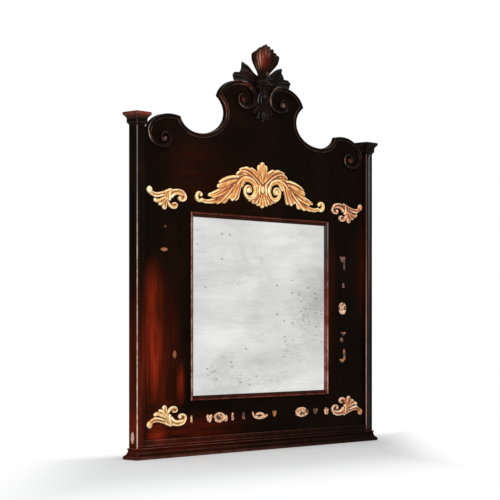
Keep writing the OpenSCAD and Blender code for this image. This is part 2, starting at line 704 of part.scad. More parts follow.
// Gilt corner mount: strands of the upper left one, about the middle of its stem
corner_strands = [
    [[[-57, 0], [-44, -7], [-22, -5], [0, 4]], [5.5, 6, 7]],
    [[[-4, 3], [16, 8], [38, 12], [60, 5]], [7, 7, 7]],
    [[[-2, 2], [-2, -10], [-2, -20], [-4, -32]], [10, 11, 9.5]],
    [[[-37, -18], [-28, -22], [-18, -20], [-6, -14]], [4.5, 6, 7]],
    [[[-24, -28], [-16, -27], [-10, -22], [-4, -14]], [5, 7, 7]],
    [[[0, -18], [4, -33], [20, -38], [35, -28]], [8, 7, 6.5]],
    [[[8, 4], [16, 3], [20, 0], [22, -4]], [6, 7, 5.5]],
    [[[2, 2], [8, -2], [12, -6], [14, -11]], [6, 6, 4]]
];
module gilt_corner() {
    color(gilt) translate([-corner_x, 0, 0]) {
        raised(gilt_edge) for (s = corner_strands) polygon(strand(s[0], s[1]));
        raised(gilt_h - 1) for (s = corner_strands) polygon(strand(s[0], s[1] * 0.5));
        raised(gilt_h - 1) polygon(arc(-60, 8, 9.5, 8.5, 0, 342, 19));
        raised(gilt_h) polygon(scroll(62, -4, 16, 13, 80, -220, 8, 4, 20));
        raised(gilt_h) translate([62, -5]) circle(r = 4.5, $fn = 14);
        raised(1.5) translate([62, -4]) circle(r = 12, $fn = 20);
    }
}
module at_corner(side, level, up) {
    translate([0, 0, level]) mirror([side > 0 ? 1 : 0, 0, 0]) mirror([0, 0, up > 0 ? 0 : 1])
        gilt_corner();
}

// Worn gilt husks: [x, z, half width, half height], from the centre line, a corner mount or a stile's middle
husk_h = 1.6;
rail_husks = [[-78, -1, 8, 12], [0, -3, 38, 10], [55, 1, 10, 10]];
left_husks = [[97, -1, 5, 12], [170, -1, 9, 12], [202, -1, 15, 13], [226, 1, 8, 12], [262, 0, 5, 10]];
right_husks = [[-208, 1, 26, 14], [-148, 1, 11, 11], [-96, 1, 11, 11]];
stile_husks = [[-12, 144, 14, 13], [-6, 111, 6, 8], [-10, 69, 8, 9], [-12, 1, 18, 20],
    [-8, -83, 12, 13], [-12, -149, 17, 20]];
stile_mid = (open_half + post_inner) / 2;
module husks(list, mid_x, mid_z) {
    color(gilt) translate([mid_x, 0, mid_z]) raised(husk_h)
        for (p = list) polygon(arc(p[0], p[1], p[2], p[3], 0, 345, 23));
}
module gilt_husks_rail() {
    husks(rail_husks, 0, corner_low_z);
    husks(left_husks, -corner_x, corner_low_z);
    husks(right_husks, corner_x, corner_low_z);
}

post(-1);  // left_post
post(1);  // right_post
capital(-1);  // left_capital
capital(1);  // right_capital
capital_dowels();
plinth_board();
plinth_screws();
neck_front();  // neck_moulding_front
neck_back();  // neck_moulding_back
neck_left();  // neck_moulding_left
neck_right();  // neck_moulding_right
bottom_rail();
rail_bead();
lower_panel_rail();
stile(-1);  // left_stile
stile(1);  // right_stile
pediment_board();
panel_dowels();
mirror([1, 0, 0]) edge_lip();  // left_edge_lip
edge_lip();  // right_edge_lip
mirror([1, 0, 0]) shoulder_volute();  // left_shoulder_volute
shoulder_volute();  // right_shoulder_volute
mirror([1, 0, 0]) crest_volute();  // left_crest_volute
crest_volute();  // right_crest_volute
crest_shell();
mirror([1, 0, 0]) crest_leaf();  // left_crest_leaf
crest_leaf();  // right_crest_leaf
crest_drop();
crest_brace();
brace_screws();
sight_side(0, sight_w / 2, sight_h / 2);  // sight_moulding_top
sight_side(180, sight_w / 2, sight_h / 2);  // sight_moulding_bottom
sight_side(-90, sight_h / 2, sight_w / 2);  // sight_moulding_left
sight_side(90, sight_h / 2, sight_w / 2);  // sight_moulding_right
mirror_glass();
glass_blocking();
backing_board();
gilt_centre_mount();
at_corner(-1, corner_top_z, 1);  // gilt_corner_top_left
at_corner(1, corner_top_z, 1);  // gilt_corner_top_right
at_corner(-1, corner_low_z, -1);  // gilt_corner_low_left
at_corner(1, corner_low_z, -1);  // gilt_corner_low_right
gilt_husks_rail();
husks(stile_husks, stile_mid, sight_mid_z);  // gilt_husks_stile
turn_button(button_places[0]);  // turn_button_top
turn_button(button_places[1]);  // turn_button_bottom
turn_button(button_places[2]);  // turn_button_left_high
turn_button(button_places[3]);  // turn_button_left_low
turn_button(button_places[4]);  // turn_button_right_high
turn_button(button_places[5]);  // turn_button_right_low
button_washers();
button_screws();
hanger_plate(-1);  // left_hanger_plate
hanger_plate(1);  // right_hanger_plate
hanger_screws();
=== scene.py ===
# %% [markdown]
# # A dark wall mirror with a carved crest and gilt mounts
# The mirror is a flat panel between two square posts on a moulded plinth. Its top is cut into
# scrolls, a carved shell stands on it, and gilt castings are pinned to its face. Nearly all of it
# is dark lacquered wood, so what the eye reads is edges: thin pale lines, partly where the lacquer
# has worn through and partly painted highlights where the light catches them. This lesson builds
# those edges as real rounded shapes and tells the material where they are.

# %% Load the measured frame
import math
import bmesh
import bpy
import numpy as np
from functools import partial
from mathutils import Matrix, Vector


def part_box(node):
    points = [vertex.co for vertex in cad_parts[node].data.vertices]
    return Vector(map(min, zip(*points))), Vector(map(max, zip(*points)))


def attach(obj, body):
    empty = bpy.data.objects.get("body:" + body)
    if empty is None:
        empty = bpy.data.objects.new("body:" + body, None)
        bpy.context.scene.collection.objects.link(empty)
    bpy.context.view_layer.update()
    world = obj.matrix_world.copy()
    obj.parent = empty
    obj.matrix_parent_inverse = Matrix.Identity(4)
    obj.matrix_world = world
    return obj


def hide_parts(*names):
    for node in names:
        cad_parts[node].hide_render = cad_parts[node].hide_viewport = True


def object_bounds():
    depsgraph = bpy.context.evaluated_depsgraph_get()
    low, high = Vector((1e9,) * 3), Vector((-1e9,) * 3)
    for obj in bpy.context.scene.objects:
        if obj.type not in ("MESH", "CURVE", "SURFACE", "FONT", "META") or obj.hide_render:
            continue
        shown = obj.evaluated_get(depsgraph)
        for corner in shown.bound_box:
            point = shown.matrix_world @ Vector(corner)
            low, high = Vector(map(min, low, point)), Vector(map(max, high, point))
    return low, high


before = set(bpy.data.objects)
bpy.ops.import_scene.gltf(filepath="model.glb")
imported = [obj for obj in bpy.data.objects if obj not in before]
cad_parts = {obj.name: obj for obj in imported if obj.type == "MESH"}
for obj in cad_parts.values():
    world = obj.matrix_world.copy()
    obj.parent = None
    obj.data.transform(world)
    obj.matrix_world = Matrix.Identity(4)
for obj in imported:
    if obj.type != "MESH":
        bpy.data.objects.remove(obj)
cad_box = [list(corner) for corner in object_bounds()]
print("frame box", cad_box)

# %% [markdown]
# ## Working in millimetres
# A cabinet maker thinks in millimetres, Blender in metres. Every shape below is worked out in
# millimetres and shrunk once, when its mesh is made. Sizes are read from the frame's boxes where a
# piece has to meet another, so nothing is placed by eye.

# %% Millimetre boxes and the levels that pieces share
MM = 0.001


def mm_box(node):
    low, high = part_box(node)
    return np.array(low) / MM, np.array(high) / MM


post_low, post_high = mm_box("right_post")
capital_low, capital_high = mm_box("right_capital")
plinth_low, plinth_high = mm_box("plinth_board")
pediment_low, pediment_high = mm_box("pediment_board")
crest_low, crest_high = mm_box("crest_shell")

face_y = pediment_low[1]
back_y = pediment_high[1]
post_inner = post_low[0]
post_outer = post_high[0]
post_mid = (post_inner + post_outer) / 2
post_half_w = (post_outer - post_inner) / 2
post_half_d = post_high[1]
span_half = post_outer
capital_foot = capital_low[2]
capital_top = capital_high[2]
pediment_top = pediment_high[2]
rail_top = mm_box("bottom_rail")[1][2]
plinth_top = plinth_high[2]
print("panel face at y", face_y, "pediment top at z", pediment_top)

# %% [markdown]
# ## Skins
# Almost every moulding here is a section carried along a path. The section at each stop is a ring
# of points, and a skin joins ring to ring. One helper does that and remembers, for each point, its
# edge rubbing and painted highlight, so that both are laid down with the shape.

# %% Rings into a closed skin
def skin(rings, wear_and_highlight=None):
    """Closed skin over rings of equal length, as points, faces and a value of rubbing and painted highlight for
    each point.
    """
    rings = np.asarray(rings, float)
    stops, count = rings.shape[:2]
    worn = np.zeros((stops, count)) if wear_and_highlight is None else np.broadcast_to(wear_and_highlight, (stops, count))
    faces = []
    for i in range(stops - 1):
        for j in range(count):
            k = (j + 1) % count
            faces.append((i * count + j, i * count + k, (i + 1) * count + k, (i + 1) * count + j))
    faces.append(tuple(range(count - 1, -1, -1)))
    faces.append(tuple((stops - 1) * count + j for j in range(count)))
    return rings.reshape(-1, 3), faces, worn.reshape(-1)


def bundle(skins):
    """Several skins as one list of points, faces and values of rubbing and painted highlight."""
    points, faces, wear_and_highlight = [], [], []
    for p, f, r in skins:
        start = sum(len(q) for q in points)
        points.append(p)
        faces += [tuple(start + v for v in face) for face in f]
        wear_and_highlight.append(r)
    return np.concatenate(points), faces, np.concatenate(wear_and_highlight)


def mirrored(skin_parts):
    """The same skin on the other side of the middle."""
    points, faces, wear_and_highlight = skin_parts
    return points * [-1, 1, 1], [tuple(reversed(f)) for f in faces], wear_and_highlight


print("skins can be joined and mirrored")

# %% [markdown]
# ## Pieces
# A skin is only numbers until it is a mesh. It is shrunk to metres, its faces are turned outwards, and
# it takes the place of one node of the frame: the piece hangs from the root, and the node it stands
# for is hidden.

# %% Meshes and pieces
def store(mesh, name, values):
    """Keeps one number for each point of a mesh, for a material to read."""
    field = mesh.attributes.get(name) or mesh.attributes.new(name, "FLOAT", "POINT")
    field.data.foreach_set("value", np.asarray(values, np.float32))


def raw_mesh(name, parts):
    """A mesh in metres from millimetre points, with its faces turned outwards."""
    points, faces, wear_and_highlight = parts
    mesh = bpy.data.meshes.new(name)
    mesh.from_pydata([tuple(p) for p in points * MM], [], faces)
    work = bmesh.new()
    work.from_mesh(mesh)
    bmesh.ops.recalc_face_normals(work, faces=work.faces)
    work.to_mesh(mesh)
    work.free()
    store(mesh, "wear_and_highlight", wear_and_highlight)
    return mesh


def add_object(name, data):
    thing = bpy.data.objects.new(name, data)
    bpy.context.scene.collection.objects.link(thing)
    return thing


def baked(blank, tools=()):
    """The mesh of a blank after its modifiers. The blank and its tools are thrown away."""
    bpy.context.view_layer.update()
    mesh = bpy.data.meshes.new_from_object(blank.evaluated_get(bpy.context.evaluated_depsgraph_get()))
    for thing in [blank, *tools]:
        bpy.data.objects.remove(thing)
    return mesh


made = []


def place(name, node, shape, finish, crisp=40):
    """Puts a skin or a finished mesh in the scene as one piece that stands for a node of the frame."""
    mesh = raw_mesh(name, shape) if isinstance(shape, tuple) else shape
    piece = add_object(name, mesh)
    mesh.materials.clear()
    mesh.materials.append(finish)
    mesh.polygons.foreach_set("use_smooth", [True] * len(mesh.polygons))
    if crisp:
        mesh.set_sharp_from_angle(angle=math.radians(crisp))
    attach(piece, "root")
    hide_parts(node)
    made.append(piece)


def place_pair(name, parts, finish):
    """A carved piece on the right and its mirror image on the left."""
    for hand, half in (("right", parts), ("left", mirrored(parts))):
        place(f"carved_{hand}_{name}", f"{hand}_{name}", half, finish)


print("pieces can be made and placed")

# %% [markdown]
# ## Node trees in a few words
# A procedural finish is a small circuit of nodes. Written out in full it is long and hard to read,
# so a circuit here has one short word for each kind of node: plus, times and most do sums, span
# turns a number into another range, and blend mixes two colours. Colours are written as a painter
# would note them, and turned into the linear numbers that the shader wants.

# %% Wiring helpers
def paint(code):
    """A screen colour such as #24130d as linear numbers."""
    parts = [int(code[i:i + 2], 16) / 255 for i in (1, 3, 5)]
    return [v / 12.92 if v <= 0.04045 else ((v + 0.055) / 1.055) ** 2.4 for v in parts] + [1.0]


class Circuit:
    """The emptied node tree of a material or a world."""

    def __init__(self, owner):
        owner.use_nodes = True
        self.owner = owner
        self.tree = owner.node_tree
        self.tree.nodes.clear()

    def wire(self, value, socket):
        """Links an output to a socket, or sets the socket's own value."""
        if isinstance(value, bpy.types.NodeSocket):
            self.tree.links.new(value, socket)
        elif value is not None:
            socket.default_value = paint(value) if isinstance(value, str) else value

    def add(self, kind, inputs=(), **settings):
        """A new node. inputs are pairs of a socket and what it gets."""
        node = self.tree.nodes.new("ShaderNode" + kind)
        for name, value in settings.items():
            setattr(node, name, value)
        for socket, value in dict(inputs).items():
            self.wire(value, node.inputs[socket])
        return node

    def sum(self, operation, first, second, clamp=False):
        return self.add("Math", {0: first, 1: second}, operation=operation, use_clamp=clamp).outputs[0]

    def times(self, first, second, clamp=False):
        return self.sum("MULTIPLY", first, second, clamp)

    def plus(self, first, second):
        return self.sum("ADD", first, second)

    def most(self, first, second):
        return self.sum("MAXIMUM", first, second)

    def span(self, value, low, high, out_low=0.0, out_high=1.0, kind="SMOOTHSTEP"):
        """A value between low and high as a share of another span."""
        inputs = {"Value": value, "From Min": low, "From Max": high, "To Min": out_low, "To Max": out_high}
        return self.add("MapRange", inputs, interpolation_type=kind).outputs["Result"]

    def blend(self, share, first, second):
        return self.add("Mix", {"Factor": share, 6: first, 7: second}, data_type="RGBA").outputs[2]

    def noise(self, where, scale, detail=4.0, rough=0.55, warp=0.0):
        inputs = {"Vector": where, "Scale": scale, "Detail": detail, "Roughness": rough, "Distortion": warp}
        return self.add("TexNoise", inputs).outputs["Fac"]

    def vector(self, operation, first, second=None):
        return self.add("VectorMath", {0: first, 1: second}, operation=operation)

    def stretch(self, where, factors):
        """Coordinates squeezed along some axes, which draws a texture out along the others."""
        return self.vector("MULTIPLY", where, factors).outputs[0]

    def axes(self, vector):
        return self.add("SeparateXYZ", {0: vector}).outputs

    def spot(self, x, z, half_x, half_z, y=0, half_y=60):
        """One in the middle of an ellipsoid given in millimetres, nothing at its edge, soft between."""
        shift = self.vector("SUBTRACT", self.where, [v * MM for v in (x, y, z)])
        spread = self.stretch(shift.outputs[0], [1 / (v * MM) for v in (half_x, half_y, half_z)])
        return self.span(self.vector("LENGTH", spread).outputs["Value"], 1.0, 0.0)

    def spots(self, places, ground=0.0):
        """The strongest of several soft spots. The last number of each is its strength."""
        total = ground
        for *place_at, strength in places:
            total = self.most(total, self.times(self.spot(*place_at), strength))
        return total

    def field(self, name):
        """The number that a mesh keeps for each point under a name."""
        return self.add("Attribute", attribute_name=name).outputs["Fac"]

    def shade(self, colour, rough, relief=None, metal=0.0, level=0.5):
        """Ends in a shader and gives the material. relief is a height, a strength and a distance."""
        inputs = {"Base Color": colour, "Roughness": rough, "Metallic": metal, "Specular IOR Level": level}
        if relief:
            bump = self.add("Bump", zip(("Height", "Strength", "Distance"), relief))
            inputs["Normal"] = bump.outputs["Normal"]
        shader = self.add("BsdfPrincipled", inputs)
        self.add("OutputMaterial", {"Surface": shader.outputs[0]})
        return self.owner


def new_finish(name):
    """The circuit of a new material, which knows where on the object it is."""
    c = Circuit(bpy.data.materials.new(name))
    c.where = c.add("TexCoord").outputs["Object"]
    return c


print("a dark lacquer in linear numbers:", paint("#0d0703"))

# %% [markdown]
# ## Lacquered wood
# The wood is nearly black with a red-brown ground that glows through where the lacquer is thin:
# down the lower part of the left stile and along the foot. Three things are mixed: the dark coat,
# the ground showing through in long streaks that follow the grain, and pale pinkish edges that are
# partly rubbed wood and partly painted highlight. Towards the right the warm clouds and the pale
# edges fade, as a painted falloff of the light. The thin places are soft ellipses at chosen spots,
# broken up by the grain so that they don't look sprayed on.

# %% Lacquered wood finish
dark_coat = "#0d0703"
warm_coat = "#241009"
red_ground = "#852510"
deep_ground = "#4c1509"
# A painted grey reflection on edges high up
grey_reflection = "#827e7b"
# Places where the red ground shows through: x and z, reach in x and z, and strength
thin_places = [
    (-425, 290, 42, 200, 1.0), (-435, 420, 60, 130, 0.62), (-455, 300, 30, 190, 0.85),
    (-325, 200, 10, 60, 0.8), (-415, 60, 60, 50, 0.75), (-330, 190, 26, 90, 0.5),
    (-485, 200, 40, 330, 0.45), (-300, 30, 330, 40, 0.3), (310, 420, 40, 320, 0.12),
    (470, 520, 50, 250, 0.1), (-250, 780, 200, 70, 0.06), (-410, 230, 110, 330, 0.32),
    (-500, 80, 40, 110, 0.6), (-250, 60, 270, 70, 0.28), (-150, 740, 320, 130, 0.045),
]


def lacquered_wood(name, grain, spots=thin_places, marks=(), warmth=0.0, wear_and_highlight_strength=0.7, gloss=0.24, level=0.006,
                   wear_and_highlight_ground=1.0, wear_and_highlight_spots=(), right_light_share=0.45, wear_and_highlight_tones=("#8a5040", "#b58c7d"),
                   tones_meet=None, raw_behind=None, grey_reflection_above=None):
    """Dark lacquer over a red ground. grain is the axis that the fibres follow, and marks are bare scuffs.
    Edges are pale, partly rubbing and partly painted highlight, by wear_and_highlight_ground, more at the
    wear_and_highlight_spots, and scaled by wear. right_light_share of that and of the warm clouds is left at
    the right: painted falloff of the light. wear_and_highlight_tones are their two colours, in patches or on
    either side of the x where tones_meet, and above grey_reflection_above they turn to a painted grey
    reflection. raw_behind is the y of a back that was never lacquered."""
    c = new_finish(name)
    at = c.axes(c.where)
    fibre_place = c.stretch(c.where, [0.07 if axis == grain else 1.0 for axis in "xyz"])
    fibres = c.noise(fibre_place, 90, detail=6, rough=0.6, warp=0.4)
    streaks = c.noise(fibre_place, 22, detail=3, rough=0.5, warp=0.3)
    clouds = c.noise(c.where, 5, detail=3)
    patches = c.noise(c.where, 38, rough=0.65)
    # Towards the right the warm clouds and the pale edges fade: painted falloff of the light
    fade = c.span(at["X"], -0.35, 0.5, 1.0, right_light_share)
    warm = c.times(c.span(clouds, 0.42, 0.75, warmth, warmth + 0.5), fade)
    coat = c.blend(warm, dark_coat, warm_coat)
    ground = c.blend(c.span(fibres, 0.35, 0.7), red_ground, deep_ground)
    glow = c.times(c.spots(spots), c.span(streaks, 0.3, 0.66, 0.45, 1.15))
    colour = c.blend(glow, coat, ground)
    # Pale edges: partly rubbed wood, partly painted highlight
    wear_and_highlight = c.times(c.field("wear_and_highlight"), c.span(patches, 0.3, 0.6, 0.8, 1.05))
    wear_and_highlight = c.times(wear_and_highlight, c.times(fade, wear_and_highlight_strength), clamp=True)
    if wear_and_highlight_spots:
        wear_and_highlight = c.times(wear_and_highlight, c.spots(wear_and_highlight_spots, wear_and_highlight_ground))
    for *place_at, strength in marks:
        scuffed = c.span(c.noise(c.where, 120, detail=3, rough=0.6), 0.3, 0.5, 0.45, 1.0)
        mark = c.times(c.span(c.spot(*place_at), 0.05, 0.25), scuffed)
        wear_and_highlight = c.most(wear_and_highlight, c.times(mark, strength))
    which = c.span(patches, 0.35, 0.65)
    if tones_meet is not None:
        which = c.span(at["X"], (tones_meet - 1) * MM, (tones_meet + 1) * MM)
    edge = c.blend(which, *wear_and_highlight_tones)
    # High up the edges turn to a painted grey reflection
    if grey_reflection_above is not None:
        edge = c.blend(c.span(at["Z"], (grey_reflection_above - 90) * MM, (grey_reflection_above + 90) * MM), edge, grey_reflection)
    colour = c.blend(wear_and_highlight, colour, edge)
    shine = c.span(fibres, 0.25, 0.8, gloss - 0.06, gloss + 0.12)
    if raw_behind is not None:
        behind = c.span(at["Y"], (raw_behind - 0.5) * MM, (raw_behind - 0.2) * MM)
        colour = c.blend(behind, colour, c.blend(c.span(fibres, 0.3, 0.7), "#6e4d33", "#432b1b"))
        shine = c.plus(shine, c.times(behind, 0.4))
    return c.shade(colour, shine, (fibres, 0.12, 0.0004), level=level)


print(len(thin_places), "thin places in the lacquer")

# %% [markdown]
# ## Woods from one recipe
# The woods differ in how worn they are, in the tone and painted highlight of their edges and in which
# way the grain runs. So each is the same recipe with other numbers, and a piece has a finish of its
# own only where the photograph shows other wear or other light.

# %% Wood finishes
# Scuffs on the left post's outer wall and the left stile: x and z, reach in x and z, y and reach in y
post_marks = [(-500, 57, 6, 20, 2, 7.5, 0.75)]
stile_marks = [(-391, 550, 17, 6, face_y, 6, 0.7), (-386, 611, 6, 4.5, face_y, 6, 0.3),
               (-351, 272, 8, 14, face_y, 6, 0.6)]
upright_wood = lacquered_wood("upright_wood", "z", marks=stile_marks, wear_and_highlight_tones=("#8c4c2c", "#bd8664"),
                              raw_behind=back_y)
# The left post's edge line is strongest low down and turns to a painted grey reflection high up
left_post_wood = lacquered_wood("left_post_wood", "z", marks=post_marks, wear_and_highlight_strength=1.0, gloss=0.3, level=0.012,
                                wear_and_highlight_ground=0.6, wear_and_highlight_spots=[(-510, 40, 200, 800, 0, 90, 1.0)],
                                wear_and_highlight_tones=("#c0937c", "#e4c4b0"), raw_behind=post_half_d, grey_reflection_above=640)
# The right post's edge line is pink left of the flute, and a painted grey sheen lies right of it
right_post_wood = lacquered_wood("right_post_wood", "z", wear_and_highlight_strength=1.0, gloss=0.2, level=0.012, right_light_share=1.0,
                                 wear_and_highlight_tones=("#b08478", "#595b5e"), tones_meet=post_mid - 8,
                                 raw_behind=post_half_d)
level_wood = lacquered_wood("level_wood", "x", raw_behind=back_y)
moulding_wood = lacquered_wood("moulding_wood", "x", warmth=0.15, wear_and_highlight_strength=0.42, level=0.004, right_light_share=0.15,
                               wear_and_highlight_tones=("#7d4336", "#9c6556"))
# The pale blue-grey on the carvings' ridges and at these spots is painted glints
carving_wood = lacquered_wood("carving_wood", "z", spots=[(-70, 1052, 50, 30, 0.05)], wear_and_highlight_strength=0.9, gloss=0.14,
                              level=0.016, right_light_share=1.0, wear_and_highlight_ground=0.05,
                              wear_and_highlight_spots=[(30, 1041, 24, 22, 1.0), (-20, 985, 15, 24, 0.7),
                                         (2, 952, 16, 30, 0.6), (12, 925, 16, 12, 0.35)],
                              wear_and_highlight_tones=("#4e545c", "#b4bdc8"))
print("wood finishes ready")

# %% [markdown]
# ## Gilding
# The mounts are cast, gilded and then toned: a brown wash lies in the hollows, and the high ribs
# are rubbed back to pale gold. The mesh keeps how proud each point stands of its surroundings, and
# the colour runs from brown through gold to cream with that number. That brown is partly the wash
# and partly painted shade in the hollows and on the low sides of broad forms, and the cream is partly
# painted highlight on crowns and tall points. Some of the gold's body is paint, so the metal share is
# only a quarter and the form shows as shade and not as reflections only.

# %% Gilding finish
tone_places = (0.1, 0.36, 0.6, 0.88)


def gilding(name, tones=("#602c0c", "#b96b2e", "#e3ab63", "#f6dda4"), dull=0.0):
    """Gold in four tones from hollow to crown, the dark ones partly painted shade and the pale ones partly
    painted highlight. dull moves all of it towards the hollows.
    """
    c = new_finish(name)
    mottle = c.noise(c.where, 160, detail=5, rough=0.6)
    blotches = c.noise(c.where, 34, detail=3, rough=0.6)
    jitter = c.plus(c.span(mottle, 0.25, 0.75, -0.14, 0.14, "LINEAR"),
                    c.span(blotches, 0.3, 0.7, -0.4, 0.4, "LINEAR"))
    level = c.plus(c.sum("SUBTRACT", c.field("proud"), dull), jitter)
    ramp = c.add("ValToRGB", {"Fac": c.span(level, -1.0, 1.0, kind="LINEAR")})
    stops = ramp.color_ramp.elements
    while len(stops) < len(tones):
        stops.new(0.5)
    for stop, place_at, code in zip(stops, tone_places, tones):
        stop.position = place_at
        stop.color = paint(code)
    # Patches where the toning lies redder
    toning = c.span(c.noise(c.where, 20, detail=3, rough=0.6), 0.48, 0.66, 0.0, 0.4)
    return c.shade(c.blend(toning, ramp.outputs["Color"], "#c9743a"), c.span(mottle, 0.3, 0.7, 0.3, 0.46),
                   (mottle, 0.2, 0.0004), metal=0.25, level=0.4)


bright_gilding = gilding("bright_gilding")
corner_gilding = gilding("corner_gilding", ("#6a3a10", "#b07838", "#dcab68", "#f4dcae"), dull=-0.1)
# A darker copy for the right-hand mounts: more wear, and painted shade on the side away from the light
worn_and_shaded_gilding = gilding("worn_and_shaded_gilding", ("#2b1208", "#99522a", "#c58452", "#efd0ae"), dull=0.14)
print("gilding finishes ready")

# %% [markdown]
# ## Posts
# Each post is a square stick with softened edges and a shallow flute down its front. The flute
# stops short at both ends, and it fades out there as a router leaves it. The section is the same
# all the way, so it is drawn once as a ring, and each stop along the height only says how deep the
# flute is and whether the panel's groove has begun.

# %% Post section
flute_half = 10.0
flute_deep = 3.5
flute_fade = 8.0
post_ease = 3.0
flute_foot = plinth_top + 21
flute_head = capital_foot - 4
groove_deep = 6.0
groove_foot = mm_box("lower_panel_rail")[0][2]
quarter_points = 5


def quarter(x, y, r, start):
    """Points on a quarter round about a middle, with the strongest rubbing and painted highlight half way."""
    turn = np.radians(np.linspace(start, start + 90, quarter_points))
    share = np.clip(1.3 - 1.5 * np.abs(np.linspace(-1, 1, quarter_points)), 0, 1)
    return [(x + r * math.cos(t), y + r * math.sin(t), s) for t, s in zip(turn, share)]


def post_section(side, flute, groove, edge_share, sheen):
    """One ring of a post: x from its middle, y, and the rubbing and painted highlight on its edge and the
    painted sheen in its flute.
    """
    w, d, r = post_half_w, post_half_d, post_ease
    hollow_r = (flute_half ** 2 + flute_deep ** 2) / (2 * flute_deep)
    reach = math.asin(flute_half / hollow_r)
    ring = [(x, y, s * edge_share) for x, y, s in quarter(-w + r, -d + r, r, 180)]
    ring.append((-flute_half - 0.6, -d, 0.0))
    for t in np.linspace(-reach, reach, 13):
        dip = flute_deep - hollow_r * (1 - math.cos(t))
        # The flute's right flank carries a painted sheen
        off = np.clip((t / reach - 0.2) / 0.5, -1, 1)
        ring.append((hollow_r * math.sin(t), -d + dip * flute, sheen * math.cos(math.pi / 2 * off)))
    ring.append((flute_half + 0.6, -d, 0.0))
    ring += [(x, y, 0.0) for x, y, s in quarter(w - r, -d + r, r, 270)]
    cut_x = w - groove_deep * groove
    inner = [(w, face_y - 0.1, 0), (cut_x, face_y - 0.1, 0), (cut_x, back_y + 0.1, 0), (w, back_y + 0.1, 0)]
    outer = [(w, face_y - 0.1, 0), (w, face_y, 0), (w, back_y, 0), (w, back_y + 0.1, 0)]
    right_wall, left_wall = (inner, outer) if side < 0 else (outer, inner)
    ring += right_wall
    ring += quarter(w - 1, d - 1, 1, 0)
    ring += quarter(-w + 1, d - 1, 1, 90)
    ring += [(-x, y, s) for x, y, s in reversed(left_wall)]
    return ring


def flute_share(z):
    """How deep the flute is at a height: nothing at its stops, all of it a little inside them."""
    q = np.clip(min(z - flute_foot, flute_head - z) / flute_fade, 0, 1)
    return math.sqrt(1 - (1 - q) ** 2)


def post_skin(side):
    foot, top = post_low[2], post_high[2]
    ends = [flute_fade * q for q in (0, 0.1, 0.3, 0.6, 1)]
    heights = [foot, foot + 2, *np.linspace(100, 800, 8), top]
    heights += [flute_foot + e for e in ends] + [flute_head - e for e in ends]
    levels = [(z, z > groove_foot) for z in heights] + [(groove_foot, False), (groove_foot, True)]
    rings, wear_and_highlight = [], []
    for z, groove in sorted(levels):
        # On the right post the edge line is weaker high up, and the painted sheen in the flute stronger
        edge_share = np.interp(z, (300, 600), (1, 0.25)) if side > 0 else 1.0
        sheen = np.interp(z, (380, 720), (0.2, 0.85)) if side > 0 else 0.0
        ring = post_section(side, flute_share(z), groove, edge_share, sheen)
        rings.append([(side * post_mid + x, y, z) for x, y, s in ring])
        wear_and_highlight.append([s for x, y, s in ring])
    return skin(rings, wear_and_highlight)


print("flutes run from z", round(flute_foot, 1), "to", round(flute_head, 1))

# %% [markdown]
# ## Pockets for the hanger plates
# At the back each post is let in for a steel keyhole plate, with a deeper pocket behind the keyhole for
# the head of the wall's screw. A joiner routs and drills it. Here plain blocks and drills are taken out
# of the post with exact booleans, because a let-in floor needs crisp corners.

# %% Posts, routed and drilled
def tool_block(name, low, high):
    """A plain block that only cuts, and is thrown away afterwards."""
    around = (low[0], low[1]), (high[0], low[1]), (high[0], high[1]), (low[0], high[1])
    corners = [[(x, y, z) for x, y in around] for z in (low[2], high[2])]
    return add_object(name, raw_mesh(name, skin(corners)))


def tool_drill(name, x, z, r, y_from, y_to):
    turn = np.linspace(0, 2 * math.pi, 32, endpoint=False)
    rings = [[(x + r * math.cos(t), y, z + r * math.sin(t)) for t in turn] for y in (y_from, y_to)]
    return add_object(name, raw_mesh(name, skin(rings)))


def cut(mesh, tools):
    """The mesh with each tool taken out of it."""
    blank = add_object("blank", mesh)
    for tool in tools:
        step = blank.modifiers.new("cut", "BOOLEAN")
        step.operation = "DIFFERENCE"
        step.solver = "EXACT"
        step.object = tool
    return baked(blank, tools)


plate_low, plate_high = mm_box("right_hanger_plate")
slot_rise = 14.0
entry_r = 6.5
slot_r = 4.4
pocket_deep = 8.0
entry_z = (plate_low[2] + plate_high[2]) / 2 - slot_rise / 2


def hanger_pocket(side):
    """Tools for the recess of a hanger plate and the pocket behind its keyhole."""
    x = side * post_mid
    half = (plate_high[0] - plate_low[0]) / 2 + 0.1
    deep, back = post_half_d - pocket_deep, post_half_d + 2
    return [
        tool_block("plate_recess", (x - half, plate_low[1], plate_low[2] - 0.1),
                   (x + half, back, plate_high[2] + 0.1)),
        tool_drill("entry_drill", x, entry_z, entry_r, deep, back),
        tool_drill("slot_drill", x, entry_z + slot_rise, slot_r, deep, back),
        tool_block("slot_router", (x - slot_r, deep, entry_z), (x + slot_r, back, entry_z + slot_rise)),
    ]


for side, name in ((-1, "left_post"), (1, "right_post")):
    mesh = cut(raw_mesh(name, post_skin(side)), hanger_pocket(side))
    place("carved_" + name, name, mesh, left_post_wood if side < 0 else right_post_wood)
    print(name, len(mesh.vertices), "points")

# %% [markdown]
# ## Capitals and plinth board
# A capital is a square block with a cove, a band, a bevel and a crown turned outwards, and the
# plinth board has an ogee on its edges. Both are a stack of rounded rectangles: each height in the
# profile has its own overhang. The corners are eased, because it is there that the light makes the
# bright upright line, and that line is painted into the corners' colour as well.

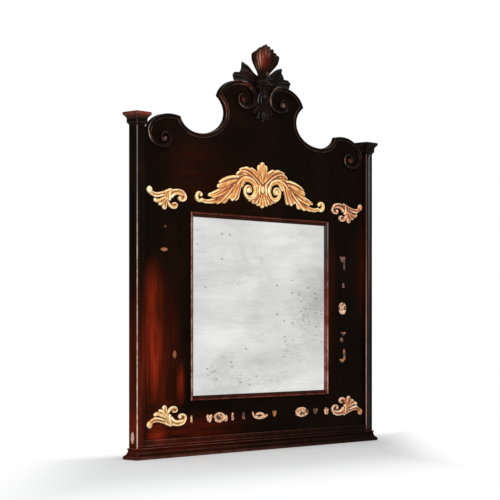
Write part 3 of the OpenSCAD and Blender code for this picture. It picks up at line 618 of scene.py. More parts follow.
# %% Moulded blocks and the capitals
def moulded_block(middle_x, half_x, half_y, profile, ease=1.5):
    """A block from a profile of overhang, height, and rubbing with painted highlight; its eased corners get
    rubbing and painted highlight too.
    """
    corners = ((1, 1, 0), (-1, 1, 90), (-1, -1, 180), (1, -1, 270))
    rings, wear_and_highlight = [], []
    for over, z, worn in profile:
        out_x, out_y = half_x + over - ease, half_y + over - ease
        ring = [point for sx, sy, start in corners for point in quarter(sx * out_x, sy * out_y, ease, start)]
        rings.append([(middle_x + x, y, z) for x, y, s in ring])
        wear_and_highlight.append([max(worn, 0.85 * max(0, s - 0.45) / 0.55) for x, y, s in ring])
    return skin(rings, wear_and_highlight)


# The greatest overhang in the steps of the capital and of the plinth
drawn_over = 12
crown_over = capital_high[0] - post_outer
# Overhang, height, and rubbing with painted highlight of each step of the capital
capital_steps = [
    (0, 0, 0.2), (0.4, 0.8, 0), (0.7, 2.4, 0), (1.2, 4, 0), (2.2, 5.5, 0), (3.3, 6.5, 0), (4.2, 6.9, 0.1),
    (4.6, 7.6, 0.25), (4.6, 8.6, 0), (4.6, 18.2, 0), (4.8, 19.4, 0.3), (5.4, 20, 0.1), (5.8, 20.6, 0),
    (6.6, 22.4, 0.15), (8.2, 24.6, 0.15), (9.6, 26.4, 0.15), (10.6, 27.4, 0.1), (11.2, 27.8, 0.3),
    (12, 28.8, 0.7), (12, 30.2, 0.3), (12, 33.8, 0.3), (12, 35, 0.7), (11.5, 35.7, 0.8), (10.6, 36, 0.5),
]
capital_spots = [(-post_mid, capital_top - 3, 90, 15, 0, 90, 0.9)]
capital_rise = (capital_top - capital_foot) / capital_steps[-1][1]
capital_profile = [(o * crown_over / drawn_over, capital_foot + h * capital_rise, s)
                   for o, h, s in capital_steps]
capital_finish = lacquered_wood("capital_wood", "x", spots=capital_spots, wear_and_highlight_strength=0.42, level=0.02,
                                right_light_share=0.12)
for side, name in ((-1, "left_capital"), (1, "right_capital")):
    parts = moulded_block(side * post_mid, post_half_w, post_half_d, capital_profile)
    place("moulded_" + name, name, parts, capital_finish)

print("capitals made,", round(capital_top - capital_foot, 1), "high")

# %% Plinth board
nose_over = plinth_high[0] - span_half
# Overhang, height, and rubbing with painted highlight of each step of the plinth
plinth_steps = [
    (9.4, 0, 0), (10.6, 0.5, 0.3), (11.5, 1.6, 0.9), (12, 3.4, 0.7), (12, 5.6, 0.1), (11.7, 7.2, 0.5),
    (11, 8.6, 0.1), (9.8, 9.9, 0), (8.2, 11, 0), (6.7, 12.2, 0), (5.6, 13.6, 0), (4.9, 15, 0.1),
    (4.6, 15.8, 0.1), (4.4, 16.6, 0.5), (3.8, 17, 0.1),
]
plinth_rise = plinth_top / plinth_steps[-1][1]
plinth_profile = [(o * nose_over / drawn_over, plinth_low[2] + h * plinth_rise, s) for o, h, s in plinth_steps]
parts = moulded_block(0, span_half, post_half_d, plinth_profile, ease=1.8)
place("moulded_plinth", "plinth_board", parts, moulding_wood)
print("plinth made,", round(plinth_top, 1), "high")

# %% [markdown]
# ## Mitred mouldings
# Two mouldings run round a rectangle in four mitred lengths: the neck moulding on the plinth, and
# the sight moulding round the glass. At a mitre a point that stands out by some distance stands
# out by the same distance along both walls, so a corner is the rectangle's own corner moved
# outwards. One helper makes the four lengths, and each caller says which way is up.

# %% Four lengths round a rectangle, and the neck moulding
def mitred_lengths(half_a, half_b, profile):
    """Two end rings for each side of a rectangle, from a profile of distance out, height, and rubbing with
    painted highlight.
    """
    corners = [(-1, -1), (1, -1), (1, 1), (-1, 1)]
    ends = [[(sa * (half_a + out), sb * (half_b + out), up) for out, up, worn in profile] for sa, sb in corners]
    return [np.array([ends[i], ends[(i + 1) % 4]]) for i in range(4)]


neck_high = mm_box("neck_moulding_front")[1][2]
neck_over = -mm_box("neck_moulding_front")[0][1] - post_half_d
neck_steps = [
    (0, 0, 0), (3.1, 0, 0), (3.2, 0.6, 0.1), (3.2, 1.4, 0.3), (2.7, 2.3, 0.1), (2.0, 3.6, 0), (1.8, 5.4, 0),
    (1.9, 7.2, 0), (2.5, 8.6, 0), (3.1, 9.3, 0), (3.2, 10.2, 0.15), (3.1, 11.2, 0.7), (2.6, 12.1, 0.7),
    (2.0, 12.5, 0.2), (0, 12.5, 0),
]
neck_scale = (neck_high - plinth_top) / neck_steps[-1][1]
neck_profile = [(o * neck_over / 3.2, plinth_top + h * neck_scale, s) for o, h, s in neck_steps]
# Rubbing and painted highlight along the neck's edges
neck_wear_and_highlight = [s for o, h, s in neck_profile]
neck_lengths = mitred_lengths(span_half, post_half_d, neck_profile)
for ends, where in zip(neck_lengths, ("front", "right", "back", "left")):
    place("moulded_neck_" + where, "neck_moulding_" + where, skin(ends, neck_wear_and_highlight), moulding_wood)

print("neck moulding stands out by", round(neck_over, 1))

# %% [markdown]
# ## Sight moulding
# The slope and bead round the glass are nearest to its light. The photograph shows the left, the right
# and the level lengths in three states of wear and of light, so there are three finishes on one section.
# Their pale lines are partly wear and partly painted highlight, and high up on the right length they
# turn to a painted grey reflection.

# %% Sight moulding
sight_low, sight_high = mm_box("sight_moulding_top")
side_low, side_high = mm_box("sight_moulding_right")
sight_half_x = side_low[0]
sight_half_z = sight_low[2] - (side_low[2] + side_high[2]) / 2
sight_mid_z = (side_low[2] + side_high[2]) / 2
sight_wide = sight_high[2] - sight_low[2]
sight_bead_r = 3.6
sight_steps = [(6, -0.5, 0), (0, -0.5, 0), (0, 0.6, 0.1), (0.5, 1.1, 0.35), (1.3, 1.4, 0.2), (2.6, 1.7, 0.1),
               (4.2, 2.2, 0.15), (5.6, 2.75, 0.25), (6.5, 2.9, 0.3), (7.0, 2.6, 0)]
# Rubbing and a painted highlight on the bead's front and top
sight_steps += [(sight_wide - sight_bead_r + sight_bead_r * math.cos(t), 1.8 + sight_bead_r * math.sin(t),
                 max(0, math.cos(t - 1.75)) ** 7) for t in np.radians(np.linspace(172, 0, 13))]
sight_steps += [(sight_wide, 0, 0), (6, 0, 0)]
# The sight moulding's pale lines are partly rubbing and partly painted highlight
sight_edge_wood = dict(warmth=0.35, wear_and_highlight_strength=1.3, level=0.02)
sight_wood = lacquered_wood("sight_wood", "x", warmth=0.35, wear_and_highlight_strength=0.5, level=0.02, right_light_share=0.9,
                            wear_and_highlight_tones=("#6e2a1e", "#96493a"))
sight_left_wood = lacquered_wood("sight_left_wood", "z", wear_and_highlight_ground=0.7,
                                 wear_and_highlight_spots=[(-sight_half_x, 150, 90, 420, 1.0)],
                                 wear_and_highlight_tones=("#a8705f", "#dcb4a4"), **sight_edge_wood)
sight_right_wood = lacquered_wood("sight_right_wood", "z", spots=[(sight_half_x, 300, 60, 320, 0.75)],
                                  right_light_share=1.0, wear_and_highlight_ground=0.35,
                                  wear_and_highlight_spots=[(sight_half_x, 230, 90, 240, 1.0),
                                             (sight_half_x, 640, 90, 150, 0.9)],
                                  wear_and_highlight_tones=("#9a5a4c", "#d8a898"), grey_reflection_above=520, **sight_edge_wood)
sight_wear_and_highlight = [s for o, h, s in sight_steps]
sight_lengths = mitred_lengths(sight_half_x, sight_half_z, sight_steps)
sight_finishes = {"bottom": sight_wood, "right": sight_right_wood, "top": sight_wood, "left": sight_left_wood}
for ends, (where, finish) in zip(sight_lengths, sight_finishes.items()):
    rings = np.stack([ends[..., 0], face_y - ends[..., 2], sight_mid_z + ends[..., 1]], axis=-1)
    place("moulded_sight_" + where, "sight_moulding_" + where, skin(rings, sight_wear_and_highlight), finish)
print("mouldings made:", len(made), "pieces so far")

# %% [markdown]
# ## Bottom rail and its bead
# The rail fills the space between the posts, flush with their fronts, and a half-round bead runs
# across all three. Both are sections drawn once and carried from end to end. The rail's top edge is
# where hands have lifted the mirror, so it is rounded more and rubbed more, and its pale line, like
# the one on the bead's upper front, is partly a painted highlight.

# %% Rail and bead
front_y = -post_half_d
rail_ring = [(front_y, plinth_top, 0), (front_y, rail_top - 2.5, 0.1), (front_y + 0.25, rail_top - 1.4, 0.3),
             (front_y + 0.8, rail_top - 0.6, 1.0), (front_y + 1.6, rail_top - 0.15, 0.4),
             (front_y + 2.6, rail_top, 0.2), (face_y - 0.1, rail_top, 0), (face_y - 0.1, groove_foot, 0),
             (back_y, groove_foot, 0), (back_y, plinth_top, 0)]
rail_ends = [[(x, y, z) for y, z, s in rail_ring] for x in (-post_inner, post_inner)]
rail_parts = skin(rail_ends, [s for y, z, s in rail_ring])
place("shaped_bottom_rail", "bottom_rail", rail_parts, moulding_wood)

bead_low, bead_high = mm_box("rail_bead")
bead_mid = (bead_low[2] + bead_high[2]) / 2
bead_half = (bead_high[2] - bead_low[2]) / 2
bead_out = front_y - bead_low[1]
bead_turn = np.radians(np.linspace(-90, 90, 11))
# Rubbing and a painted highlight on the bead's upper front
bead_wear_and_highlight = [0.7 * max(0, math.cos(t - 0.7)) ** 6 for t in bead_turn]
bead_rings = [[(x * bead_high[0], front_y - bead_out * share * math.cos(t), bead_mid + bead_half * math.sin(t))
               for t in bead_turn]
              for x, share in ((-1, 0.2), (-0.999, 0.75), (-0.997, 1), (0.997, 1), (0.999, 0.75), (1, 0.2))]
place("shaped_rail_bead", "rail_bead", skin(bead_rings, bead_wear_and_highlight), moulding_wood)
print("rail top at z", rail_top, "bead", bead_high[0] * 2, "long")

# %% [markdown]
# ## The scrolled outline
# The top of the panel is cut to four arcs a side: the shoulder, the outer and the inner side of
# the cut-out, and the hump under the crest. A raised lip follows them. Where two arcs meet, their
# lips meet in a mitre, and the mitre's line is found by asking, for each distance in from the
# edge, where the two shifted ellipses cross.

# %% Ellipses of the outline and the mitres between them
# Middle x and z, half axes, and 1 where the wood lies outside the ellipse or -1 where it lies inside
shoulder = (post_inner - 106, capital_foot - 13, 90, 56, -1)
cut_outer = (256, 915, 75, 46.5, 1)
cut_inner = (256, 933, 106, 64.5, 1)
hump = (85, pediment_top - 65, 97.02, 65, -1)


def on_arc(arc, degrees, inset):
    """A point on an arc of the outline, moved in from the edge."""
    x, z, a, b, inwards = arc
    t = math.radians(degrees)
    return x + (a + inwards * inset) * math.cos(t), z + (b + inwards * inset) * math.sin(t)


def crossing(arc, other, start, end, inset):
    """The angle on arc, between start and end, at which it meets the other arc."""
    middle_x, middle_z, a, b, inwards = other

    def beyond(degrees):
        x, z = on_arc(arc, degrees, inset)
        return ((x - middle_x) / (a + inwards * inset)) ** 2 + ((z - middle_z) / (b + inwards * inset)) ** 2 - 1

    for _ in range(40):
        mid = (start + end) / 2
        if beyond(start) * beyond(mid) <= 0:
            end = mid
        else:
            start = mid
    return (start + end) / 2


print("the hump meets the cut-out at", round(crossing(hump, cut_inner, -30, 40, 0), 1), "degrees")

# %% Edge lips
# Inset, height, and rubbing with painted highlight of the lip's section; its two beads carry the pale lines
lip_profile = [(0, 0, 0), (0, 1.5, 0), (0.3, 2.3, 0.2), (1.0, 2.9, 1), (2.0, 3.0, 0.2), (3.0, 2.7, 0),
               (4.2, 2.1, 0), (6.4, 1.7, 0), (8.6, 1.9, 0), (9.8, 2.3, 0), (10.8, 2.8, 0.2), (11.6, 2.85, 0.8),
               (12.4, 2.3, 0.1), (13, 1.3, 0), (13, 0, 0)]


def lip_run(stretches, raise_by=1.0, stops=22):
    """Lip along one or more stretches. Each gives an arc and a function of the inset for both end angles."""
    rings = []
    for arc, start, end in stretches:
        for i in range(stops + 1):
            ring = []
            for inset, up, worn in lip_profile:
                a, b = start(inset), end(inset)
                x, z = on_arc(arc, a + (b - a) * i / stops, inset)
                ring.append((x, face_y - up * raise_by, z))
            rings.append(ring)
    return skin(rings, [s for g, h, s in lip_profile])


def always(degrees):
    return lambda inset: degrees


at_tip_outer = partial(crossing, cut_outer, shoulder, -60, 10)
at_tip_shoulder = partial(crossing, shoulder, cut_outer, 95, 150)
at_horn_inner = partial(crossing, cut_inner, hump, -260, -185)
at_horn_hump = partial(crossing, hump, cut_inner, -30, 40)
lip_parts = lip_run([(cut_outer, at_tip_outer, always(-90)), (cut_inner, always(-90), at_horn_inner)], stops=26)
# The lips' pale double lines are partly rubbing and partly painted highlight, brightest at the left cut-out
lip_finish = lacquered_wood("lip_wood", "x", spots=[(-150, 960, 60, 60, 0.2)], warmth=0.25, wear_and_highlight_strength=0.8,
                            gloss=0.16, level=0.01, wear_and_highlight_ground=0.18, right_light_share=0.7,
                            wear_and_highlight_spots=[(-330, 935, 45, 60, 1.5), (-150, 945, 40, 60, 0.6)],
                            wear_and_highlight_tones=("#98725f", "#dbc6b0"))
place_pair("edge_lip", lip_parts, lip_finish)
print("edge lips made")

# %% [markdown]
# ## Volutes
# Each lip runs into a scroll with a button in its eye. A scroll is a band that follows a smooth
# line and narrows towards the eye. The line is drawn through a few points, as a carver strikes it,
# and the band's section is a ridge that stands near the outer edge and falls away inwards. The eye
# is a dome with a groove that winds to its middle.

# %% Bands and eyes along a drawn line
def through(points, per_span=7):
    """A smooth line through points."""
    p = np.array(points, float)
    p = np.concatenate([[2 * p[0] - p[1]], p, [2 * p[-1] - p[-2]]])
    line = []
    for i in range(1, len(p) - 2):
        for t in np.arange(per_span) / per_span:
            line.append(0.5 * (2 * p[i] + (p[i + 1] - p[i - 1]) * t
                               + (2 * p[i - 1] - 5 * p[i] + 4 * p[i + 1] - p[i + 2]) * t ** 2
                               + (3 * p[i] - p[i - 1] - 3 * p[i + 1] + p[i + 2]) * t ** 3))
    line.append(p[-2])
    return np.array(line)


# Across, height, and rubbing with painted highlight of a band's section
band_profile = [(0, 0, 0), (0, 0.5, 0), (0.03, 0.74, 0.2), (0.12, 0.93, 1), (0.22, 1.0, 0.35), (0.34, 0.97, 0),
                (0.5, 0.84, 0), (0.62, 0.84, 0), (0.74, 0.82, 0.3), (0.88, 0.66, 0), (1, 0.4, 0), (1, 0, 0)]


def unit_steps(line):
    """The way a line runs at each of its points."""
    steps = np.gradient(line, axis=0)
    return steps / np.linalg.norm(steps, axis=1)[:, None]


def band(line, width, height, hand):
    """A carved band on the right (1) or left (-1) hand of a line. width and height are spread along it."""
    steps = unit_steps(line)
    across = np.stack([steps[:, 1], -steps[:, 0]], axis=1) * hand
    share = np.linspace(0, 1, len(line))
    w = np.interp(share, np.linspace(0, 1, len(width)), width)
    h = np.interp(share, np.linspace(0, 1, len(height)), height)
    rings = [[(*(p + n * wi * g), face_y - hi * up) for g, up, s in band_profile]
             for p, n, wi, hi in zip(line, across, w, h)]
    rings = np.array(rings)[..., [0, 2, 1]]
    return skin(rings, [s for g, up, s in band_profile])


eye_turns = 1.4


def eye(middle, r, height, start):
    """A domed button with a groove that winds to its middle."""
    rings, wear_and_highlight = [], []
    for k in [0, 0.35] + list(np.linspace(0, 0.985, 13)):
        first = len(rings) < 2
        ring, worn = [], []
        for t in np.linspace(0, 2 * math.pi, 40, endpoint=False):
            rho = 1.0 if first else 1 - k
            dome = height * (0.45 + 0.55 * math.sqrt(max(0, 1 - (0.96 * rho) ** 2)))
            phase = t + start + 2 * math.pi * eye_turns * math.log(max(rho, 0.08)) * 0.9
            groove = 0.16 * height * (0.5 + 0.5 * math.cos(phase)) ** 3 * (rho < 0.95) * min(1, rho * 3)
            up = k * dome / 0.7 if first else dome - groove
            ring.append((middle[0] + r * rho * math.cos(t), face_y - up, middle[1] + r * rho * math.sin(t)))
            # Rubbing and painted highlight on the ridges between the groove's turns
            worn.append(0.0 if first else 0.9 * max(0, 0.5 - 0.9 * math.cos(phase)) * (0.25 < rho < 0.9))
        rings.append(ring)
        wear_and_highlight.append(worn)
    return skin(rings, wear_and_highlight)


print("a band's section has", len(band_profile), "points")

# %% Shoulder and crest volutes
volute_raise = 4 / 3
# The hump's lip glows red where its lacquer is thin
volute_spots = [(-60, 1022, 80, 20, 0.12), (50, 1024, 50, 14, 0.06), (-87, 977, 12, 12, 0.3),
                (393, 843, 12, 12, 0.35)]
# Rubbing and painted glints on the volutes' rims and eyes
volute_wear_and_glints = [(-452, 850, 26, 50, 1.0), (-393, 843, 20, 20, 0.9), (87, 977, 20, 20, 0.8),
               (400, 843, 20, 20, 0.8), (30, 990, 16, 46, 0.6), (-87, 960, 34, 20, 0.6),
               (450, 864, 16, 30, 0.8), (372, 840, 10, 18, 0.8), (-90, 1020, 70, 24, 0.5),
               (60, 1022, 50, 18, 0.45), (-52, 1012, 16, 12, 0.9)]
shoulder_line = through([
    (453.8, 858), (452, 848), (446, 836), (434, 826), (417, 820), (398, 819), (382, 823), (370, 833),
    (368, 846), (376, 858), (391, 862), (404, 856), (408, 845), (402, 836), (393, 836)])
shoulder_parts = bundle([
    lip_run([(shoulder, always(2), at_tip_shoulder)], raise_by=volute_raise, stops=30),
    band(shoulder_line, (13, 10, 9, 8, 7, 6), (4, 7, 8, 8.5, 9, 9), hand=1),
    eye((392.5, 843), 6.5, 9, start=1.0),
])
volute_finish = lacquered_wood("volute_wood", "x", spots=volute_spots, wear_and_highlight_strength=0.95, gloss=0.14, level=0.012,
                               wear_and_highlight_ground=0.1, wear_and_highlight_spots=volute_wear_and_glints, right_light_share=0.9,
                               wear_and_highlight_tones=("#94695a", "#cfb4a4"))
place_pair("shoulder_volute", shoulder_parts, volute_finish)

crest_line = through([
    (85, 1030), (66, 1029), (48, 1020), (34, 1006), (28, 990), (30, 973), (40, 961), (56, 954.5), (76, 952.5),
    (93, 957), (105, 967), (107, 980), (98, 991), (84, 993), (73, 985), (73, 973), (82, 967)])
crest_volute_parts = bundle([
    lip_run([(hump, at_horn_hump, always(88))], raise_by=volute_raise, stops=30),
    band(crest_line, (14, 13, 10, 9, 8, 7, 5), (4, 8, 10, 10.5, 11, 11, 10), hand=-1),
    eye((87, 977), 7.5, 11, start=2.2),
])
place_pair("crest_volute", crest_volute_parts, volute_finish)
print("volutes made")

# %% [markdown]
# ## Carved leaves
# Leaves, husks and the gilt mounts are all made of one thing: a leaf that follows a curve, swells
# and narrows, ends round, and has veins cut along it. It could be sculpted by hand, but a rule is
# easier to repeat: each leaf is four control points and three half widths. The leaves of a mount
# overlap freely, and a remesh then fuses them into one skin, as metal flows together in a mould.

# %% One leaf as a swept, veined skin
def cubic(c, t):
    c = np.asarray(c, float)
    t = np.asarray(t)[:, None]
    return (1 - t) ** 3 * c[0] + 3 * t * (1 - t) ** 2 * c[1] + 3 * t * t * (1 - t) * c[2] + t ** 3 * c[3]


def quadratic(w, t):
    return (1 - t) ** 2 * w[0] + 2 * t * (1 - t) * w[1] + t * t * w[2]


def leaf(control, half_widths, rib, edge=2.0, veins=1, cut_deep=0.35, tilt=0.0):
    """A leaf on the panel's face, tip first, with rounded ends and grooves along it.
    tilt leans its ridge to one side."""
    t = np.linspace(0, 1, 22)
    line = cubic(control, t)
    steps = unit_steps(line)
    w = quadratic(half_widths, t)
    turn = np.radians([78, 58, 38, 18])
    head = [(line[0] - steps[0] * w[0] * math.sin(a), steps[0], w[0] * math.cos(a)) for a in turn]
    tail = [(line[-1] + steps[-1] * w[-1] * math.sin(a), steps[-1], w[-1] * math.cos(a)) for a in turn[::-1]]
    stations = head + list(zip(line, steps, w)) + tail
    s = np.linspace(-1, 1, 17)
    dome = np.sqrt(np.clip(1 - np.abs(s) ** 2.2, 0, 1)) * (1 + tilt * s) / (1 + abs(tilt) * 0.6)
    groove = (0.5 + 0.5 * np.cos(np.pi * veins * s + (0 if veins % 2 else np.pi))) ** 3
    groove = groove * (np.abs(s) < 0.9)
    widest = max(w)
    rings = []
    for p, d, wi in stations:
        n = np.array([-d[1], d[0]])
        full = min(1, wi / widest)
        tall = edge + (rib - edge) * full ** 0.5
        body = edge * min(1, wi / 2) + (tall - edge) * dome * (1 - cut_deep * groove * full)
        ring = [(*(p + n * wi * si), -hi) for si, hi in zip(s, body)]
        ring += [(*(p + n * wi * k), 0.0) for k in (1, 0.3, -0.3, -1)]
        rings.append(ring)
    rings = np.array(rings)[..., [0, 2, 1]]
    rings[..., 1] += face_y
    return skin(rings)


print("a leaf has", len(leaf([[0, 9], [0, 6], [0, 3], [0, 0]], [2, 2, 2], 3)[0]), "points before it is fused")

# %% [markdown]
# ## Ribbed fans
# A broad acanthus blade, a shell and a palmette are all fans: a patch stretched between four drawn
# edges, the foot, the rim and two sides. Its height is a wave across the patch, which makes the ribs,
# on a slope that rises to the rim. The rim is drawn through its tips and notches, so each outline is
# the photograph's and not a rule's.

# %% A ribbed fan between four edges
rim_close, side_close = 0.12, 0.1


def evenly(points, count):
    """Points spread evenly along a smooth line."""
    line = through(points, 12)
    far = np.concatenate([[0], np.cumsum(np.linalg.norm(np.diff(line, axis=0), axis=1))])
    at = np.linspace(0, far[-1], count)
    return np.stack([np.interp(at, far, line[:, k]) for k in (0, 1)], axis=1)


def fan(foot, rim, left, right, ribs, rise, rib_high, thick=None, notch=0.04, meet=0.25, seams=(1, 1)):
    """A ribbed blade. foot and rim run from its left side to its right side, left and right from foot to
    rim. rise is the height of the grooves at the foot, half way and at the rim. Without thick the back is
    flat on the panel. meet says where between back and front the edges close, and seams which sides do."""
    count = int(8 * ribs) + 1
    u = np.linspace(0, 1, count)[:, None]
    v = np.linspace(0, 1, 26)[None, :]
    uneven = u + 0.05 * np.sin(2.3 * np.pi * u) * (ribs < 6)
    ridge = np.abs(np.sin(np.pi * ribs * uneven)) ** 0.65
    ridge = ridge * (1 - 0.3 * np.abs(np.sin(np.pi * ribs * uneven / 2 + 0.6)) * (ribs < 6))
    low = evenly(foot, count)[:, None]
    high = evenly(rim, count)[:, None]
    along = v * (1 - notch * (1 - ridge))
    sides = []
    for end, line in ((0, left), (-1, right)):
        side = evenly([foot[end]] + line + [rim[end]], 60)
        sides.append(np.stack([np.interp(along, np.linspace(0, 1, 60), side[:, k]) for k in (0, 1)], axis=-1))
    a, b = along[..., None], u[..., None]
    flat = (1 - a) * low + a * high + (1 - b) * sides[0] + b * sides[1]
    flat -= (1 - b) * (1 - a) * low[0] + b * (1 - a) * low[-1] + (1 - b) * a * high[0] + b * a * high[-1]
    ground = np.interp(along, (0, 0.5, 1), rise)
    near_side = np.maximum(seams[0] * (side_close - u), seams[1] * (u - (1 - side_close))) / side_close
    close = np.maximum(np.clip((v - (1 - rim_close)) / rim_close, 0, 1), np.clip(near_side, 0, 1))
    open_share = np.sqrt(1 - close ** 2)
    front = ground + rib_high * ridge * (0.35 + 0.65 * along)
    back = ground - thick if thick else 0 * ground
    middle = back + (front - back) * meet
    front = middle + (front - middle) * open_share
    back = middle + (back - middle) * open_share
    walls = [np.stack([flat[..., 0], face_y - out, flat[..., 1]], axis=-1) for out in (front, back)]
    return skin(np.concatenate([walls[0], walls[1][:, ::-1]], axis=1))


plain_fan = fan([(0, 0), (9, 0)], [(0, 9), (9, 9)], [], [], ribs=3, rise=(1, 1, 1), rib_high=1)
print("a fan of three ribs has", len(plain_fan[0]), "points")

# %% [markdown]
# ## Fusing and reading the relief
# Overlapping leaves are fused on a fine grid of cubes and smoothed a little. Then each point is
# compared with the average of its surroundings, near and wide. A point that stands out is a crown, one
# that lies deep is a hollow, and that number goes to the material as the place of pale gold or of
# dark brown: partly toning and partly painted highlight and painted shade. The highest points also
# get rubbing and a painted highlight for the carved wood.

# %% Fusing leaves and reading their relief
smooth_rounds = 2
near_rounds = 14
wide_rounds = 42
# The wide reading and the height above the panel make broad crowns and tall points lighter and low sides
# darker: painted highlight and painted shade
near_weight, wide_weight, height_weight = 0.7, 2.3, 1.2
typical_height = 0.7
scale_mm = 0.9
tone_percents = (5, 93)


def read(items, name, width, kind=float):
    """A value of each vertex, edge or normal as rows of numbers."""
    values = np.empty(len(items) * width, kind)
    items.foreach_get(name, values)
    return values.reshape(-1, width)


def averaged(values, ends, rounds, keep=0.5):
    """Each point's value pulled towards its neighbours' mean, a number of rounds."""
    size = len(values)
    a, b = ends[:, 0], ends[:, 1]
    weight = np.bincount(a, minlength=size) + np.bincount(b, minlength=size)
    for _ in range(rounds):
        total = np.stack([np.bincount(a, values[b, k], size) + np.bincount(b, values[a, k], size)
                          for k in range(values.shape[1])], axis=1)
        values = keep * values + (1 - keep) * total / weight[:, None]
    return values


def fuse(name, skins, voxel, wear_and_highlight_from=0.35):
    """One skin from overlapping ones, with how proud each point stands kept as a number from -1 to 1, and
    rubbing with painted highlight on the highest points.
    """
    blank = add_object("blank", raw_mesh(name, bundle(skins)))
    step = blank.modifiers.new("fuse", "REMESH")
    step.mode = "VOXEL"
    step.voxel_size = voxel * MM
    mesh = baked(blank)
    mesh.name = name
    ends = read(mesh.edges, "vertices", 2, np.int32)
    points = read(mesh.vertices, "co", 3)
    points = averaged(points / MM, ends, smooth_rounds, keep=0.6)
    mesh.vertices.foreach_set("co", (points * MM).ravel())
    mesh.update()
    normals = read(mesh.vertex_normals, "vector", 3)
    smooth = averaged(points, ends, near_rounds)
    proud = ((points - smooth) * normals).sum(axis=1)
    broad = ((smooth - averaged(smooth, ends, wide_rounds)) * normals).sum(axis=1)
    tall = (face_y - points[:, 1]) / (face_y - points[:, 1]).max()
    level = (proud * near_weight + broad * wide_weight) / scale_mm + (tall - typical_height) * height_weight
    low, high = np.percentile(level, tone_percents)
    level = np.clip(2 * (level - low) / (high - low) - 1, -1, 1)
    level = averaged(level[:, None], ends, 1)[:, 0]
    store(mesh, "proud", level)
    # The highest points get rubbing and a painted highlight, shown on the carved wood as glints
    store(mesh, "wear_and_highlight", np.clip((level - wear_and_highlight_from) / (1 - wear_and_highlight_from), 0, 1))
    print(name, "fused:", len(mesh.vertices), "points")
    return mesh


print("relief is read over", near_rounds, "rounds near and", wide_rounds, "more wide")

# %% [markdown]
# ## Gilt centre mount
# Two volutes stand back to back with a jewel between them, a fan of lobes above and below, and long
# leaves that run out to a small scroll at each tip. One half is drawn, in distances from the middle
# of its volute, and the other half is its mirror image.

# %% Leaves and blades of one half
gilt_up = 7.5
volute_x = 58.0
gilt_over_sight = 85.5
gilt_z = sight_high[2] - sight_wide + gilt_over_sight
gilt_voxel = 0.75
# Tip-to-root points, half widths, height, veins and tilt of each leaf, from the middle of the volute
gilt_leaves = [
    ([[158, -42], [138, -42], [112, -26], [92, 4]], [5, 7, 6], 5.2, 1, 0.2),
    ([[46, 42], [28, 54], [0, 50], [-42, 16]], [4.5, 8, 6.5], 6.8, 1, -0.4),
    ([[34, 54], [20, 62], [-8, 58], [-46, 28]], [3.5, 6, 6], 6.2, 1, -0.3),
    ([[12, 60], [2, 60], [-20, 52], [-48, 28]], [4.5, 5.5, 6], 6.6, 0, -0.3),
    ([[-12, 60], [-22, 58], [-36, 48], [-50, 30]], [3.8, 5, 6], 6.2, 0, 0),
    ([[-40, 52], [-44, 46], [-48, 38], [-52, 28]], [3.5, 4, 4], 6.4, 0, 0.2),
    ([[52, 8], [46, 18], [30, 34], [2, 36]], [6, 6.5, 4], 6.4, 0, 0),
    ([[-43, -10], [-44, -2], [-44, 8], [-46, 16]], [3, 3.5, 3.5], 6.4, 0, 0),
    ([[118, 15], [104, 24], [78, 34], [46, 34]], [3.5, 4.5, 4], 7.2, 0, 0.3),
    ([[124, 3], [108, 12], [84, 22], [56, 24]], [5, 7, 4], 7.2, 0, 0.5),
    ([[160, -23], [138, -18], [106, -4], [74, 18]], [4.5, 8, 4], 7.4, 1, 0.5),
    ([[126, -42], [108, -32], [86, -12], [60, 12]], [4.5, 8, 4], 7.2, 0, 0.5),
    ([[68, -30], [60, -22], [48, -4], [44, 16]], [5, 8, 5], 7.4, 0, 0.3),
    ([[190, -38], [176, -44], [160, -42], [140, -36]], [5, 6, 6], 5.6, 1, 0),
]
# Blades of the wing: foot, rim, upper side and lower side, ribs, heights and how proud the ribs stand
wing_blades = [
    ([[20, 40], [34, 26], [40, 8]],
     [[82, 31], [98, 25], [108, 21], [119, 15.5], [112, 9], [122, 9.5], [130, 6], [124, -3], [140, -10],
      [153, -16], [166, -23], [156, -29], [143, -33]],
     [[36, 40], [60, 37]], [[66, -2], [102, -20]], 3.5, (3.0, 4.2, 4.2), 3.0),
    ([[36, 20], [32, 6]],
     [[150, -40], [140, -44], [129, -47.5], [122, -41], [115, -38], [106, -44], [97, -42], [95, -34],
      [88, -27], [80, -30], [75, -27]],
     [[66, 0], [104, -22], [132, -35]], [[44, -6], [60, -18]], 3.5, (4.4, 3.2, 3.2), 3.0),
    ([[38, 24], [28, 18]],
     [[74, -20], [73, -30], [66, -36], [58, -30], [54, -35], [46, -31], [43, -24]],
     [[54, 16], [68, -4]], [[34, 4], [40, -12]], 1.5, (4.6, 5.0, 3.6), 2.6),
]
print(len(gilt_leaves), "leaves and", len(wing_blades), "blades in a half")

# %% [markdown]
# ## Scrolls and domes for the castings
# Besides leaves and blades a casting has scrolls, whose line tightens evenly, and low domes for eyes
# and jewels. Each helper gives a line or a skin, to be fused with the rest.

# %% Scrolls and domes
def cast_leaves(leaves, cut_deep):
    """Leaves from rows of control points, half widths, height, veins and tilt."""
    return [leaf(c, w, rib, veins=v, tilt=lean, cut_deep=cut_deep if v else 0) for c, w, rib, v, lean in leaves]


def spiral(middle, r0, r1, start, end):
    """Points on a spiral whose radius shrinks evenly in ratio."""
    k = np.linspace(0, 1, 40)
    turn = np.radians(start + (end - start) * k)
    r = r0 * (r1 / r0) ** k
    return np.stack([middle[0] + r * np.cos(turn), middle[1] + r * np.sin(turn)], axis=1)


def shifted(control, x, z):
    return [[p[0] + x, p[1] + z] for p in control]


